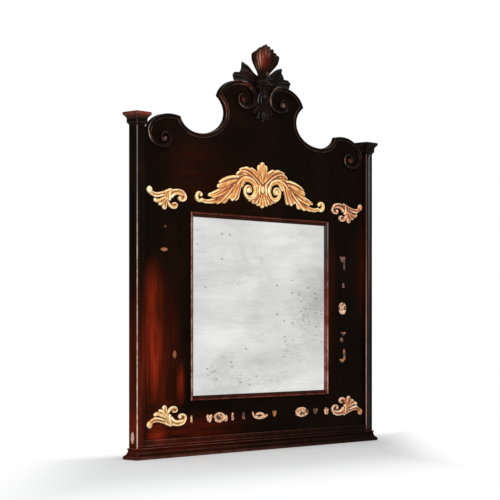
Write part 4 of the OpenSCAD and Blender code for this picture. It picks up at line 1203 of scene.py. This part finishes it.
def disc(middle, r, height, squash=1.0):
    """A low dome with an upright edge."""
    turn = np.linspace(0, 2 * math.pi, 36, endpoint=False)
    dome = [(math.sin(a), 0.35 + 0.65 * math.cos(a)) for a in np.radians([75, 60, 45, 30, 15, 3])]
    rings = []
    for rho, up in [(1, 0), (1, 0.35)] + dome:
        rings.append([(middle[0] + r * rho * math.cos(t), face_y - height * up,
                       middle[1] + r * squash * rho * math.sin(t)) for t in turn])
    return skin(rings)


print("a dome has", len(disc((0, 0), 5, 2)[0]), "points")

# %% Gilt centre mount
# Degrees round a volute and its outer radius there, from the wing inwards
volute_turns = [(20, 40), (60, 39), (90, 37), (135, 36.5), (180, 36), (225, 32), (270, 27.5), (315, 23.5),
                (360, 20.5), (405, 17), (450, 14), (495, 12), (540, 11), (585, 10)]


def gilt_half():
    parts = cast_leaves([(shifted(c, volute_x, gilt_z), *rest) for c, *rest in gilt_leaves], 0.4)
    for foot, rim, upper, lower, ribs, rise, high in wing_blades:
        edges = [shifted(line, volute_x, gilt_z) for line in (foot, rim, upper, lower)]
        parts.append(fan(*edges, ribs=ribs, rise=rise, rib_high=high, notch=0.025))
    ring = through([(volute_x + r * math.cos(math.radians(a)), gilt_z + r * math.sin(math.radians(a)))
                    for a, r in volute_turns])
    parts.append(band(ring, (14, 15, 14, 12, 10, 8, 6, 5), (6, 7.2, gilt_up, 7, 6.5, 6.5, 6.5, 7), hand=-1))
    parts.append(disc((volute_x + 0.5, gilt_z), 8.5, gilt_up))
    hook = spiral((volute_x + 201, gilt_z - 29), 17, 13, -110, 130)
    parts.append(band(hook, (10, 11, 10, 8), (6, gilt_up, gilt_up, 6), hand=-1))
    parts.append(disc((volute_x + 194, gilt_z - 24), 5.5, 6.5))
    return parts


def sign_leaf(sign):
    """One of the two small leaves that flank the top leaf."""
    return shifted([[sign * 13, 66], [sign * 14, 58], [sign * 9, 50], [sign * 3, 38]], 0, gilt_z)


halves = gilt_half()
centre_parts = halves + [mirrored(q) for q in halves]
bottom_half = [(7, -46), (11, -41.5), (18, -43), (25, -41), (28, -36), (36, -38.5), (42, -36), (45, -31),
               (53, -32.5), (60, -29), (66, -21)]
bottom_rim = [(-x, z) for x, z in bottom_half[::-1]] + [(0, -48)] + bottom_half
bottom_edges = ([(-14, -4), (0, -9), (14, -4)], bottom_rim, [(-40, -12)], [(40, -12)])
centre_parts.append(fan(*[shifted(edge, 0, gilt_z) for edge in bottom_edges], ribs=9, rise=(3.6, 3.2, 2.6),
                        rib_high=2.8, notch=0.02))
top_leaf = shifted([[0, 73], [0, 66], [0, 52], [0, 24]], 0, gilt_z)
centre_parts += cast_leaves([(top_leaf, [8.5, 10, 5], 7.2, 1, 0)], 0.35)
centre_parts += cast_leaves([(sign_leaf(sign), [7.5, 6.5, 4], 6.4, 0, 0.3) for sign in (-1, 1)], 0)
for up, r, height, squash in ((32, 24, 3.4, 1.0), (3, 15, 3.2, 1.2), (4, 8.5, gilt_up, 1.35)):
    centre_parts.append(disc((0, gilt_z + up), r, height, squash))
centre_mesh = fuse("gilt_centre", centre_parts, gilt_voxel)
place("cast_gilt_centre", "gilt_centre_mount", centre_mesh, bright_gilding, crisp=0)

# %% [markdown]
# ## Gilt corner mounts
# The four corner mounts come from one pattern. The casting is made once, for the upper left corner,
# and mirrored across the middle and upside down for the others.

# %% Gilt corner mounts
corner_x = post_inner - 86
corner_leaves = [
    ([[-58, 2], [-42, -8], [-20, -3], [14, 9]], [6, 6.5, 7.5], 6.2, 1, 0.2),
    ([[-46, -7], [-38, -8.5], [-28, -6], [-12, -2]], [3.6, 4, 3], 6.6, 0, 0),
    ([[19.5, -5], [27, 5], [44, 8], [60, 2]], [5, 5, 3.5], 6.2, 0, 0),
    ([[-8, -33], [-8, -26], [-5, -14], [0, 4]], [8, 8.5, 8], 6.4, 1, 0),
    ([[11, -13], [9, -7], [8, 0], [11, 7]], [3.8, 4.5, 4], 6.8, 0, 0),
    ([[-43, -17], [-35, -22], [-22, -18], [-8, -11]], [4.8, 5, 6], 6.6, 0, 0.2),
    ([[-26, -27], [-20, -27], [-12, -22], [-4, -13]], [4, 5.5, 6], 6.8, 0, 0.2),
]
corner_arch = [(4, 9), (18, 13), (31, 15.5), (46, 16.2), (61, 13), (70, 5), (74, -4), (71, -12), (61, -17),
               (49, -15.5), (44, -9), (48, -3)]
corner_curl = [(-6, -10), (2, -24), (13, -35), (27, -38), (36, -34), (38.5, -26), (32, -20), (22, -21)]
corner_parts = cast_leaves(corner_leaves, 0.45)
corner_parts.append(disc((-63.5, 8.5), 9.5, 6.8))
corner_parts.append(band(through(corner_arch), (9, 9, 9, 8, 7, 5), (4, 6.5, 7, 7, 7, 6.5), hand=1))
corner_parts += [disc((50, -9), 6, 6.8), disc((58, -4), 10, 2.2)]
corner_parts.append(band(through(corner_curl), (7, 9, 9, 7, 5), (5, 6.8, 7, 7, 6), hand=-1))
corner_parts.append(disc((27, -28), 6, 3.2))
corner_levels = {"top": 696.0, "low": 97.0}
for level, hand in (("top", "left"), ("top", "right"), ("low", "left"), ("low", "right")):
    where = level + "_" + hand
    flip = [1 if hand == "left" else -1, 1, 1 if level == "top" else -1]
    spot = [-corner_x * flip[0], 0, corner_levels[level]]
    parts = [(points * flip + spot, faces, wear_and_highlight) for points, faces, wear_and_highlight in corner_parts]
    mesh = fuse("gilt_corner_" + where, parts, gilt_voxel)
    # The right-hand mounts take the darker copy, partly painted shade
    finish = corner_gilding if hand == "left" else worn_and_shaded_gilding
    place("cast_gilt_corner_" + where, "gilt_corner_" + where, mesh, finish, crisp=0)

# %% [markdown]
# ## Worn gilt husks
# Along the bottom rail and down the right stile only scraps of a gilt decoration are left. They are
# thin castings of four kinds: a bar, a shield, a loop with a leaf in it, and a boat. How worn a scrap
# is goes into its points as a number, and the finish turns that into dull brown or pale gold.

# %% Four kinds of scrap
husk_high = face_y - mm_box("gilt_husks_rail")[0][1]


def toned(parts, gold):
    """The same skins with one number at every point: how much of the gold is left."""
    return [(points, faces, np.full(len(points), gold)) for points, faces, wear_and_highlight in parts]


def sized(points, x, z, a, b):
    """Points given in half widths and half heights of a scrap."""
    return [[x + p * a, z + q * b] for p, q in points]


def scrap_leaf(points, spot, widths, **more):
    return leaf(sized(points, *spot), widths, husk_high, edge=0.8, **more)


def bar(*spot):
    a, b = spot[2:]
    line = [(0, 1 - a / b), (-0.3, 0.4), (0.3, -0.4), (0, a / b - 1)]
    return [scrap_leaf(line, spot, [a * 0.9, a * 0.8, a], cut_deep=0.3)]


def shield(*spot):
    edges = ([(-0.25, -1), (0.25, -1)], [(-1, 0.7), (-0.6, 1), (0, 0.75), (0.6, 1), (1, 0.7)],
             [(-0.8, -0.1)], [(0.8, -0.1)])
    return [fan(*[sized(edge, *spot) for edge in edges], ribs=3, rise=(0.8, 0.9, 0.8), rib_high=husk_high - 1)]


def loop(*spot):
    x, z, a, b = spot
    turn = np.radians(np.linspace(0, 345, 46))
    ring = np.array(sized(zip(np.cos(turn), np.sin(turn)), *spot))
    inner = scrap_leaf([(0.4, 0.1), (0.1, 0.4), (-0.3, 0.2), (-0.45, -0.2)], spot,
                       [b * 0.15, b * 0.3, b * 0.14])
    return [band(ring, (b * 0.5, b * 0.42, b * 0.58, b * 0.45), [husk_high] * 2, hand=-1), inner,
            disc((x, z), a * 0.9, 0.9, squash=b / a)]


def boat(*spot):
    a, b = spot[2:]
    hull = [(-1 + b / a * 0.35, 0.6), (-0.75, -1.1), (0.5, -0.9), (1 - b / a * 0.3, -0.1)]
    load = [(-0.4, 0.25), (-0.1, 0.5), (0.25, 0.4), (0.5, -0.1)]
    return [scrap_leaf(hull, spot, [b * 0.3, b * 0.5, b * 0.25]),
            scrap_leaf(load, spot, [b * 0.3, b * 0.4, b * 0.3])]


print("a loop is made of", len(loop(0, 0, 20, 14)), "skins")

# %% Places of the scraps
# Kind, x, z from the corner mounts' level, half width, half height and share of gold left
rail_scraps = [
    (bar, -287, 0, 4, 11, 0.75), (shield, -216, -1, 12, 11, 1.0), (loop, -176, 0, 23, 14, 1.0),
    (bar, -150, -3, 7, 9, 0.95), (bar, -122, 0, 4.5, 11, 0.8), (bar, -77, 0, 5, 11, 0.45),
    (boat, -8, 0, 34, 11, 0.95), (shield, 55, 2, 10, 9, 0.5), (loop, 176, 1, 29, 14, 0.9),
    (shield, 238, 1, 10, 9, 0.45), (loop, 289, 0, 10, 11, 0.8),
]
# The same for the stile, with x from its middle and z from the glass's middle
stile_scraps = [
    (shield, -12, 146, 14, 9, 0.22), (bar, -4, 128, 4, 15, 0.2), (bar, -8, 68, 5, 8, 0.16),
    (loop, -13, -1, 17, 18, 0.9), (bar, -6, -2, 5, 17, 0.85), (shield, -8, -76, 12, 5, 0.4),
    (bar, -16, -95, 7, 6, 0.35), (bar, -4, -138, 5, 17, 0.4), (shield, -14, -157, 12, 6, 0.45),
]
print(len(rail_scraps), "scraps on the rail and", len(stile_scraps), "on the stile")

# %% [markdown]
# ## Worn gilding
# Gold leaf wears off in patches until the dark wood shows. The finish reads how much gold a scrap has
# left, picks its tone by that, and lets the wood through where a noise runs high.

# %% Worn gilding and the husks
def scrap_finish():
    """Thin gilding that is worn through to the dark wood in places."""
    c = new_finish("scrap_gilding")
    left = c.field("wear_and_highlight")
    mottle = c.noise(c.where, 150, detail=5, rough=0.7)
    mottled = c.span(mottle, 0.35, 0.65)
    colour = c.blend(c.span(left, 0.25, 0.5), c.blend(mottled, "#4e2016", "#8c5442"),
                     c.blend(mottled, "#8d4a20", "#c4803f"))
    colour = c.blend(c.span(left, 0.6, 0.85), colour, c.blend(mottled, "#b06a38", "#fad6b2"))
    gone = c.plus(c.span(c.noise(c.where, 85, rough=0.65), 0.3, 0.7), c.times(left, -0.35))
    colour = c.blend(c.span(gone, 0.3, 0.42), colour, "#34170e")
    return c.shade(colour, c.span(mottle, 0.3, 0.7, 0.36, 0.55), (mottle, 0.3, 0.0005), metal=0.15)


scraps = scrap_finish()
stile_mid = (mm_box("right_stile")[0][0] + post_inner) / 2
for name, pieces, x, z in (("gilt_husks_rail", rail_scraps, 0, corner_levels["low"]),
                           ("gilt_husks_stile", stile_scraps, stile_mid, sight_mid_z)):
    skins = []
    for kind, along, up, a, b, gold in pieces:
        parts = kind(along + x, up + z, a, b)
        skins += toned(parts[:-1], gold) + toned(parts[-1:], min(gold, 0.55) if kind is loop else gold)
    place("worn_" + name, name, bundle(skins), scraps, crisp=60)
print("husks made")

# %% [markdown]
# ## Crest shell
# The shell is a fan that grows out of a narrow foot, swells like a tulip and leans out over the front.
# It stands on a stem with a smooth dome and a husk, and the stem is what the brace behind holds.

# %% Shell
shell_tip = crest_high[2]
crest_reach = face_y - crest_low[1]
crest_voxel = 0.8
rim_half = [(9, -1.5), (15.5, -6), (19, -10), (26, -10), (34, -15), (38, -20), (45, -22), (53, -27), (57, -36)]
shell_rim = shifted([(-x, z) for x, z in rim_half[::-1]] + [(0, 0)] + rim_half, 0, shell_tip)
shell_foot = shifted([(-15, 13), (0, 11), (15, 13)], 0, pediment_top)
shell_side = shifted([(24, 28), (39, 42), (53, 57)], 0, pediment_top)
shell_blade = fan(shell_foot, shell_rim, [[-x, z] for x, z in shell_side], shell_side, ribs=9,
                  rise=(7, 10, crest_reach - 6), rib_high=6.0, thick=8, meet=0.8)


def stem_skin():
    """The block between the brace and the shell, with eased front edges."""
    front = face_y - 10
    rings = []
    for up, half in ((-28, 16), (-26, 18), (0, 19), (6, 15.5), (18, 14), (24, 10)):
        back = back_y if up > 0 else face_y
        wall = [(half, back), (half, front + 4), (half - 1.4, front + 1.4), (half - 4, front)]
        wall = [(-x, y) for x, y in wall[:1]] + wall + [(-x, y) for x, y in wall[:0:-1]]
        rings.append([(x, y, pediment_top + up) for x, y in wall])
    return skin(rings)


def leaf_pairs(leaves, edge, cut_deep):
    """Each leaf and its mirror image, from rows of points above the pediment, widths, height and tilt."""
    return [leaf([[sign * x, z + pediment_top] for x, z in c], w, tall, edge=edge, tilt=-lean * sign,
                 cut_deep=cut_deep)
            for c, w, tall, lean in leaves for sign in (1, -1)]


stem_leaves = [
    ([[0, -27], [0, -20], [0, -12], [0, -4]], [5, 5.5, 5], 15.5, 0),
    ([[12, -27], [13, -18], [12, -8], [9, 2]], [4.5, 6, 6], 13.5, 0.3),
    ([[22, -12], [20, -6], [15, 0], [10, 4]], [4, 6, 6], 11, 0.3),
]
stem_skins = [stem_skin(), disc((0, pediment_top + 2), 29, 17, squash=0.4)]
stem_skins += leaf_pairs(stem_leaves, 6, 0.35)
shell_mesh = fuse("shell", [shell_blade] + stem_skins, crest_voxel, wear_and_highlight_from=-0.1)
# Rubbing and painted highlight on the shell's ribs
shell_wear_and_highlights = [(-25, shell_tip - 46, 27, 36, 0, 90, 1.0), (6, shell_tip - 22, 24, 24, 0, 90, 0.35),
              (14, shell_tip - 84, 14, 12, 0, 90, 0.6)]
shell_finish = lacquered_wood("shell_wood", "z", spots=[(-8, shell_tip - 40, 40, 42, 0, 90, 0.85)], wear_and_highlight_strength=1.1,
                              gloss=0.14, level=0.018, wear_and_highlight_ground=0.02, wear_and_highlight_spots=shell_wear_and_highlights,
                              wear_and_highlight_tones=("#a8654e", "#cf9f86"))
place("carved_crest_shell", "crest_shell", shell_mesh, shell_finish, crisp=0)

# %% [markdown]
# ## Crest leaves and husk drop
# A leaf springs from each side of the shell's foot. It is a fan too, with a rim drawn in two lobes.
# Below the shell hangs a palmette of seven blades, and two more on each side join it to the stem.

# %% Leaves and drop
leaf_rim = [(86, 54), (86, 45), (87, 36), (92, 26), (102, 21.5), (113, 21), (121, 17.5), (123, 8), (118, -3)]
leaf_edges = ([(17, 20), (20, 11), (22, 0.4)], leaf_rim, [(36, 29), (60, 45)], [(55, 0.4), (88, 0.4)])
leaf_blade = fan(*[shifted(edge, 0, pediment_top) for edge in leaf_edges], ribs=4.5, rise=(0.5, 2.5, 3.5),
                 rib_high=5, thick=9, notch=0.02, meet=0.6, seams=(1, 0))
for hand, blade in (("right", leaf_blade), ("left", mirrored(leaf_blade))):
    name = hand + "_crest_leaf"
    # The leaf's highest points get painted glints
    mesh = fuse(name, [blade], crest_voxel, wear_and_highlight_from=0.45)
    place("carved_" + name, name, mesh, carving_wood, crisp=0)

drop_leaves = [
    ([[0, -102], [0, -90], [0, -76], [0, -58]], [6.5, 8.5, 4], 9.5, 0),
    ([[19, -96], [16, -86], [9, -74], [3, -58]], [6.5, 8, 4], 9, 0.2),
    ([[34, -81], [27, -77], [16, -69], [5, -57]], [6.5, 8, 4], 8.5, 0.2),
    ([[38, -66], [31, -65], [18, -61], [6, -54]], [4, 5.5, 4], 7.5, 0.2),
    ([[21, -56], [22, -48], [18, -38], [13, -32]], [5, 7, 6], 11, 0.3),
    ([[10, -57], [11, -49], [9, -38], [6, -31]], [4.5, 6, 5], 12, 0.2),
]
drop_skins = leaf_pairs(drop_leaves, 3, 0.4)
drop_skins += [disc((0, pediment_top - 37), 7, 15.5, squash=1.1), disc((0, pediment_top - 44), 16, 8)]
drop_mesh = fuse("drop", drop_skins, crest_voxel, wear_and_highlight_from=0.3)
place("carved_crest_drop", "crest_drop", drop_mesh, carving_wood, crisp=0)

# %% [markdown]
# ## Looking glass
# The glass is silvered at the back, and old silvering is never even: it has faint level streaks and
# small dark specks, most of them low down and to the right. A mirror is a metal in shader terms. Its
# base colour is how much it gives back, so the streaks and specks are drawn in that colour. Its large
# darker and lighter clouds are partly uneven silvering and partly a painted reflection of the room.

# %% Looking glass finish
# Darker and lighter places, partly uneven silvering and partly painted reflection, then crowded ones: x and z,
# reach in x and z, and strength
silver_clouds_and_reflection = [(250, 430, 180, 150, 0.62), (-200, 325, 210, 70, -0.3), (20, 610, 190, 50, -0.25),
                (20, 255, 190, 50, 0.24), (150, 180, 150, 40, -0.2)]
speck_places = [(205, 385, 110, 130, 0.75), (150, 290, 170, 70, 0.6), (-180, 225, 100, 60, 0.9),
                (-40, 190, 300, 50, 0.55)]
cell_scale = 72


def looking_glass():
    c = new_finish("looking_glass")
    haze = c.noise(c.stretch(c.where, [0.7, 1.0, 1.3]), 7, rough=0.6, warp=0.5)
    streaks = c.noise(c.stretch(c.where, [0.22, 1.0, 2.0]), 22, detail=5, rough=0.65, warp=0.15)
    fine = c.noise(c.stretch(c.where, [0.3, 1.0, 3.2]), 80, rough=0.7)
    tone = c.plus(c.span(haze, 0.3, 0.7, 0.0, 0.4), c.times(c.span(streaks, 0.35, 0.75), 0.2))
    tone = c.plus(tone, c.times(c.span(fine, 0.4, 0.75), 0.17))
    for *place_at, amount in silver_clouds_and_reflection:
        tone = c.plus(tone, c.times(c.spot(*place_at), amount))
    silver = c.blend(c.span(tone, -0.08, 1.25, kind="LINEAR"), "#ebebea", "#a4a4a4")
    # Each cell of a flat cell pattern holds one speck, or none where its random number is too high
    at = c.axes(c.where)
    flat = c.add("CombineXYZ", {"X": c.times(at["X"], 0.42), "Y": c.plus(at["Z"], c.times(at["X"], 0.12))})
    flat_place = {"Vector": flat.outputs[0], "Scale": cell_scale}
    cells = c.add("TexVoronoi", flat_place, voronoi_dimensions="2D").outputs
    chance = c.axes(cells["Color"])
    crowd = c.spots(speck_places, 0.05)
    near = c.sum("DIVIDE", cells["Distance"], c.span(chance["Y"], 0.0, 1.0, 0.08, 0.26))
    speck = c.times(c.sum("LESS_THAN", chance["X"], crowd), c.span(near, 1.0, 0.35))
    grime = c.span(c.noise(c.stretch(c.where, [0.4, 1.0, 1.3]), 75, detail=5, rough=0.75), 0.5, 0.66)
    dirt = c.most(c.times(speck, 0.6), c.times(c.times(grime, crowd), 0.5))
    return c.shade(c.blend(dirt, silver, "#6f6e6d"), c.span(fine, 0.3, 0.8, 0.06, 0.16), metal=1.0)


print("glass has", len(silver_clouds_and_reflection), "clouds and", len(speck_places), "crowded places")

# %% [markdown]
# ## Woods and metals behind
# The back was never meant to be seen, so its ply and pine are bare, and its brass and steel have gone
# dull. The wood is drawn out along its grain and stained in places. The metals are only mottled.

# %% Bare wood and old metal
def bare_wood(name, pale, deep, grain):
    """Unfinished wood for the parts behind: pale with darker growth lines."""
    c = new_finish(name)
    along = [0.06 if axis == grain else 1.0 for axis in "xyz"]
    lines = c.noise(c.stretch(c.where, along), 55, detail=6, rough=0.65, warp=1.2)
    stain = c.span(c.noise(c.where, 6, detail=3), 0.45, 0.8, 0.0, 0.35)
    wood = c.blend(stain, c.blend(c.span(lines, 0.35, 0.7), pale, deep), "#3d2a1b")
    return c.shade(wood, c.span(lines, 0.3, 0.8, 0.55, 0.8), (lines, 0.25, 0.0005), level=0.3)


def old_metal(name, clean, tarnish, rough):
    c = new_finish(name)
    mottle = c.noise(c.where, 180, detail=5, rough=0.65)
    colour = c.blend(c.span(mottle, 0.4, 0.7), clean, tarnish)
    return c.shade(colour, c.span(mottle, 0.3, 0.75, rough, rough + 0.25), (mottle, 0.15, 0.0003), metal=0.9)


print("woods and metals for the back can be mixed")

# %% [markdown]
# ## Pieces that keep their own mesh
# Boards, the glass and the fittings at the back are already right in the frame: flat boards with
# true holes. They only need a finish, given to the object's material slots.

# %% Finishes for the frame's own meshes
dressed = [
    (upright_wood, ["left_stile", "right_stile"]),
    (level_wood, ["lower_panel_rail", "pediment_board"]),
    (looking_glass(), ["mirror_glass"]),
    (bare_wood("backing_ply_wood", "#a98457", "#7d5a35", "x"), ["backing_board"]),
    (bare_wood("pine_wood", "#b48d5e", "#8a6438", "z"),
     ["glass_blocking", "crest_brace", "panel_dowels", "capital_dowels"]),
    (old_metal("aged_brass", "#b08a45", "#6b4d22", 0.3),
     [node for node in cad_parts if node.startswith("turn_button_")]),
    (old_metal("aged_steel", "#8f8d89", "#4c4743", 0.35),
     ["brace_screws", "plinth_screws", "button_washers", "button_screws", "hanger_screws",
      "left_hanger_plate", "right_hanger_plate"]),
]
for finish, nodes in dressed:
    for node in nodes:
        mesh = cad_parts[node].data
        mesh.materials.clear()
        mesh.materials.append(finish)
    print(finish.name, "on", ", ".join(nodes))

# %% [markdown]
# ## Floor, backdrop and light
# The photograph is taken on white with a soft grey shadow at the foot. The floor is a pale matt
# sheet. Seen by the camera it also glows a little, more with the distance from the mirror, so that
# it fades into the white world while the shadow under the plinth stays. Where it glows less, before
# the mirror, the grey matt floor shows with its real shadow, and that grey patch is a painted shadow.

# %% Floor
# The painted grey shadow patch lies before the mirror and leans to the left, as if from a lamp behind the
# mirror
floor_lean = 1.125
glow_from, glow_full = 0.3, 0.85


def seen(c):
    """One for the rays that end at the eye: straight ones, reflections and those through glass."""
    rays = c.add("LightPath").outputs
    return c.most(c.most(rays["Is Camera Ray"], rays["Is Glossy Ray"]), rays["Is Transmission Ray"])


def pale_floor():
    c = new_finish("pale_floor")
    at = c.axes(c.where)
    ahead = c.times(at["Y"], -1.0)
    beside = c.plus(at["X"], c.times(ahead, floor_lean))
    # Less glow before the mirror leaves a grey patch of matt floor: a painted shadow
    fade = c.span(ahead, glow_from, glow_full)
    for value, start, end in ((ahead, 0.03, -0.2), (beside, -0.5, -0.95), (beside, 0.5, 0.8)):
        fade = c.most(fade, c.span(value, start, end))
    matt = c.add("BsdfDiffuse", {"Color": "#e1e1e1"}).outputs[0]
    glow = c.add("Emission").outputs[0]
    mix = c.add("MixShader", {0: c.times(seen(c), fade), 1: matt, 2: glow})
    c.add("OutputMaterial", {"Surface": mix.outputs[0]})
    return c.owner


floor_half = 30.0
floor_gap = 0.0002
floor_mesh = bpy.data.meshes.new("floor")
floor_corners = [(sx * floor_half, sy * floor_half, 0) for sx, sy in ((-1, -1), (1, -1), (1, 1), (-1, 1))]
floor_mesh.from_pydata(floor_corners, [], [(0, 1, 2, 3)])
floor_mesh.materials.append(pale_floor())
floor = add_object("floor", floor_mesh)
floor.location.z = cad_box[0][2] - floor_gap

print("floor at z", floor.location.z)

# %% White room
room_light = 0.42
room = Circuit(bpy.data.worlds.new("studio"))
strength = room.span(seen(room), 0, 1, room_light, 1.0, "LINEAR")
back = room.add("Background", {"Color": (1, 1, 1, 1), "Strength": strength})
room.add("OutputWorld", {"Surface": back.outputs[0]})
bpy.context.scene.world = room.owner
print("the room lights the mirror with", room_light, "and looks white")

# %% [markdown]
# ## Lamps
# A large soft lamp on the left models the posts and mouldings, a narrow strip in front draws a line
# of light in the flutes, and a wide one above gives the crest its tops. They are weak, because gilt
# and pale wood have to keep their colour.

# %% Lamps
def softbox(name, place_at, aim, size, power, tint=(1, 1, 1)):
    lamp = bpy.data.lights.new(name, "AREA")
    lamp.shape = "RECTANGLE"
    lamp.size, lamp.size_y = size
    lamp.energy = power
    lamp.color = tint
    lamp_object = add_object(name, lamp)
    lamp_object.location = place_at
    lamp_object.rotation_euler = (Vector(aim) - Vector(place_at)).to_track_quat("-Z", "Y").to_euler()
    return lamp_object


lamps = [softbox("key_light", (-3.6, -2.2, 1.9), (0, 0, 0.6), (0.4, 1.3), 112, (0.97, 0.985, 1.0)),
         softbox("front_strip", (-0.5, -3.4, 0.9), (0.3, 0, 0.6), (0.2, 1.9), 26, (0.95, 0.975, 1.0)),
         softbox("top_light", (0.4, -1.6, 3.1), (0, 0, 0.6), (1.2, 0.5), 30)]
# The glass shows the white room and no lamp, so it doesn't burn out from the front
no_lamps = bpy.data.collections.new("no_lamps")
no_lamps.objects.link(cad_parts["mirror_glass"])
no_lamps.collection_objects[0].light_linking.link_state = "EXCLUDE"
for lamp in lamps:
    lamp.light_linking.receiver_collection = no_lamps
print(len(lamps), "lamps, none of them on the glass")

# %% [markdown]
# ## Camera
# The photograph was taken from low on the left with a long lens, held level: uprights stay upright
# and the picture's middle is shifted up instead. The place and turn come from a fit to the plinth,
# the posts and the glass.

# %% Camera
camera_place = (-3.475, -3.050, 0.3476)
camera_turn = -48.37
camera = bpy.data.cameras.new("photo_view")
camera.lens = 118.0
camera.sensor_width = 36.0
camera.shift_y = 0.1518
camera_object = add_object("photo_view", camera)
camera_object.location = camera_place
camera_object.rotation_euler = (math.radians(90), 0, math.radians(camera_turn))
bpy.context.scene.camera = camera_object
bpy.context.scene.view_settings.view_transform = "Standard"
print("camera lens", camera.lens, "mm")

# %% [markdown]
# ## Pieces made
# The pieces made are counted.

# %% Count the pieces
print(len(made), "pieces made")
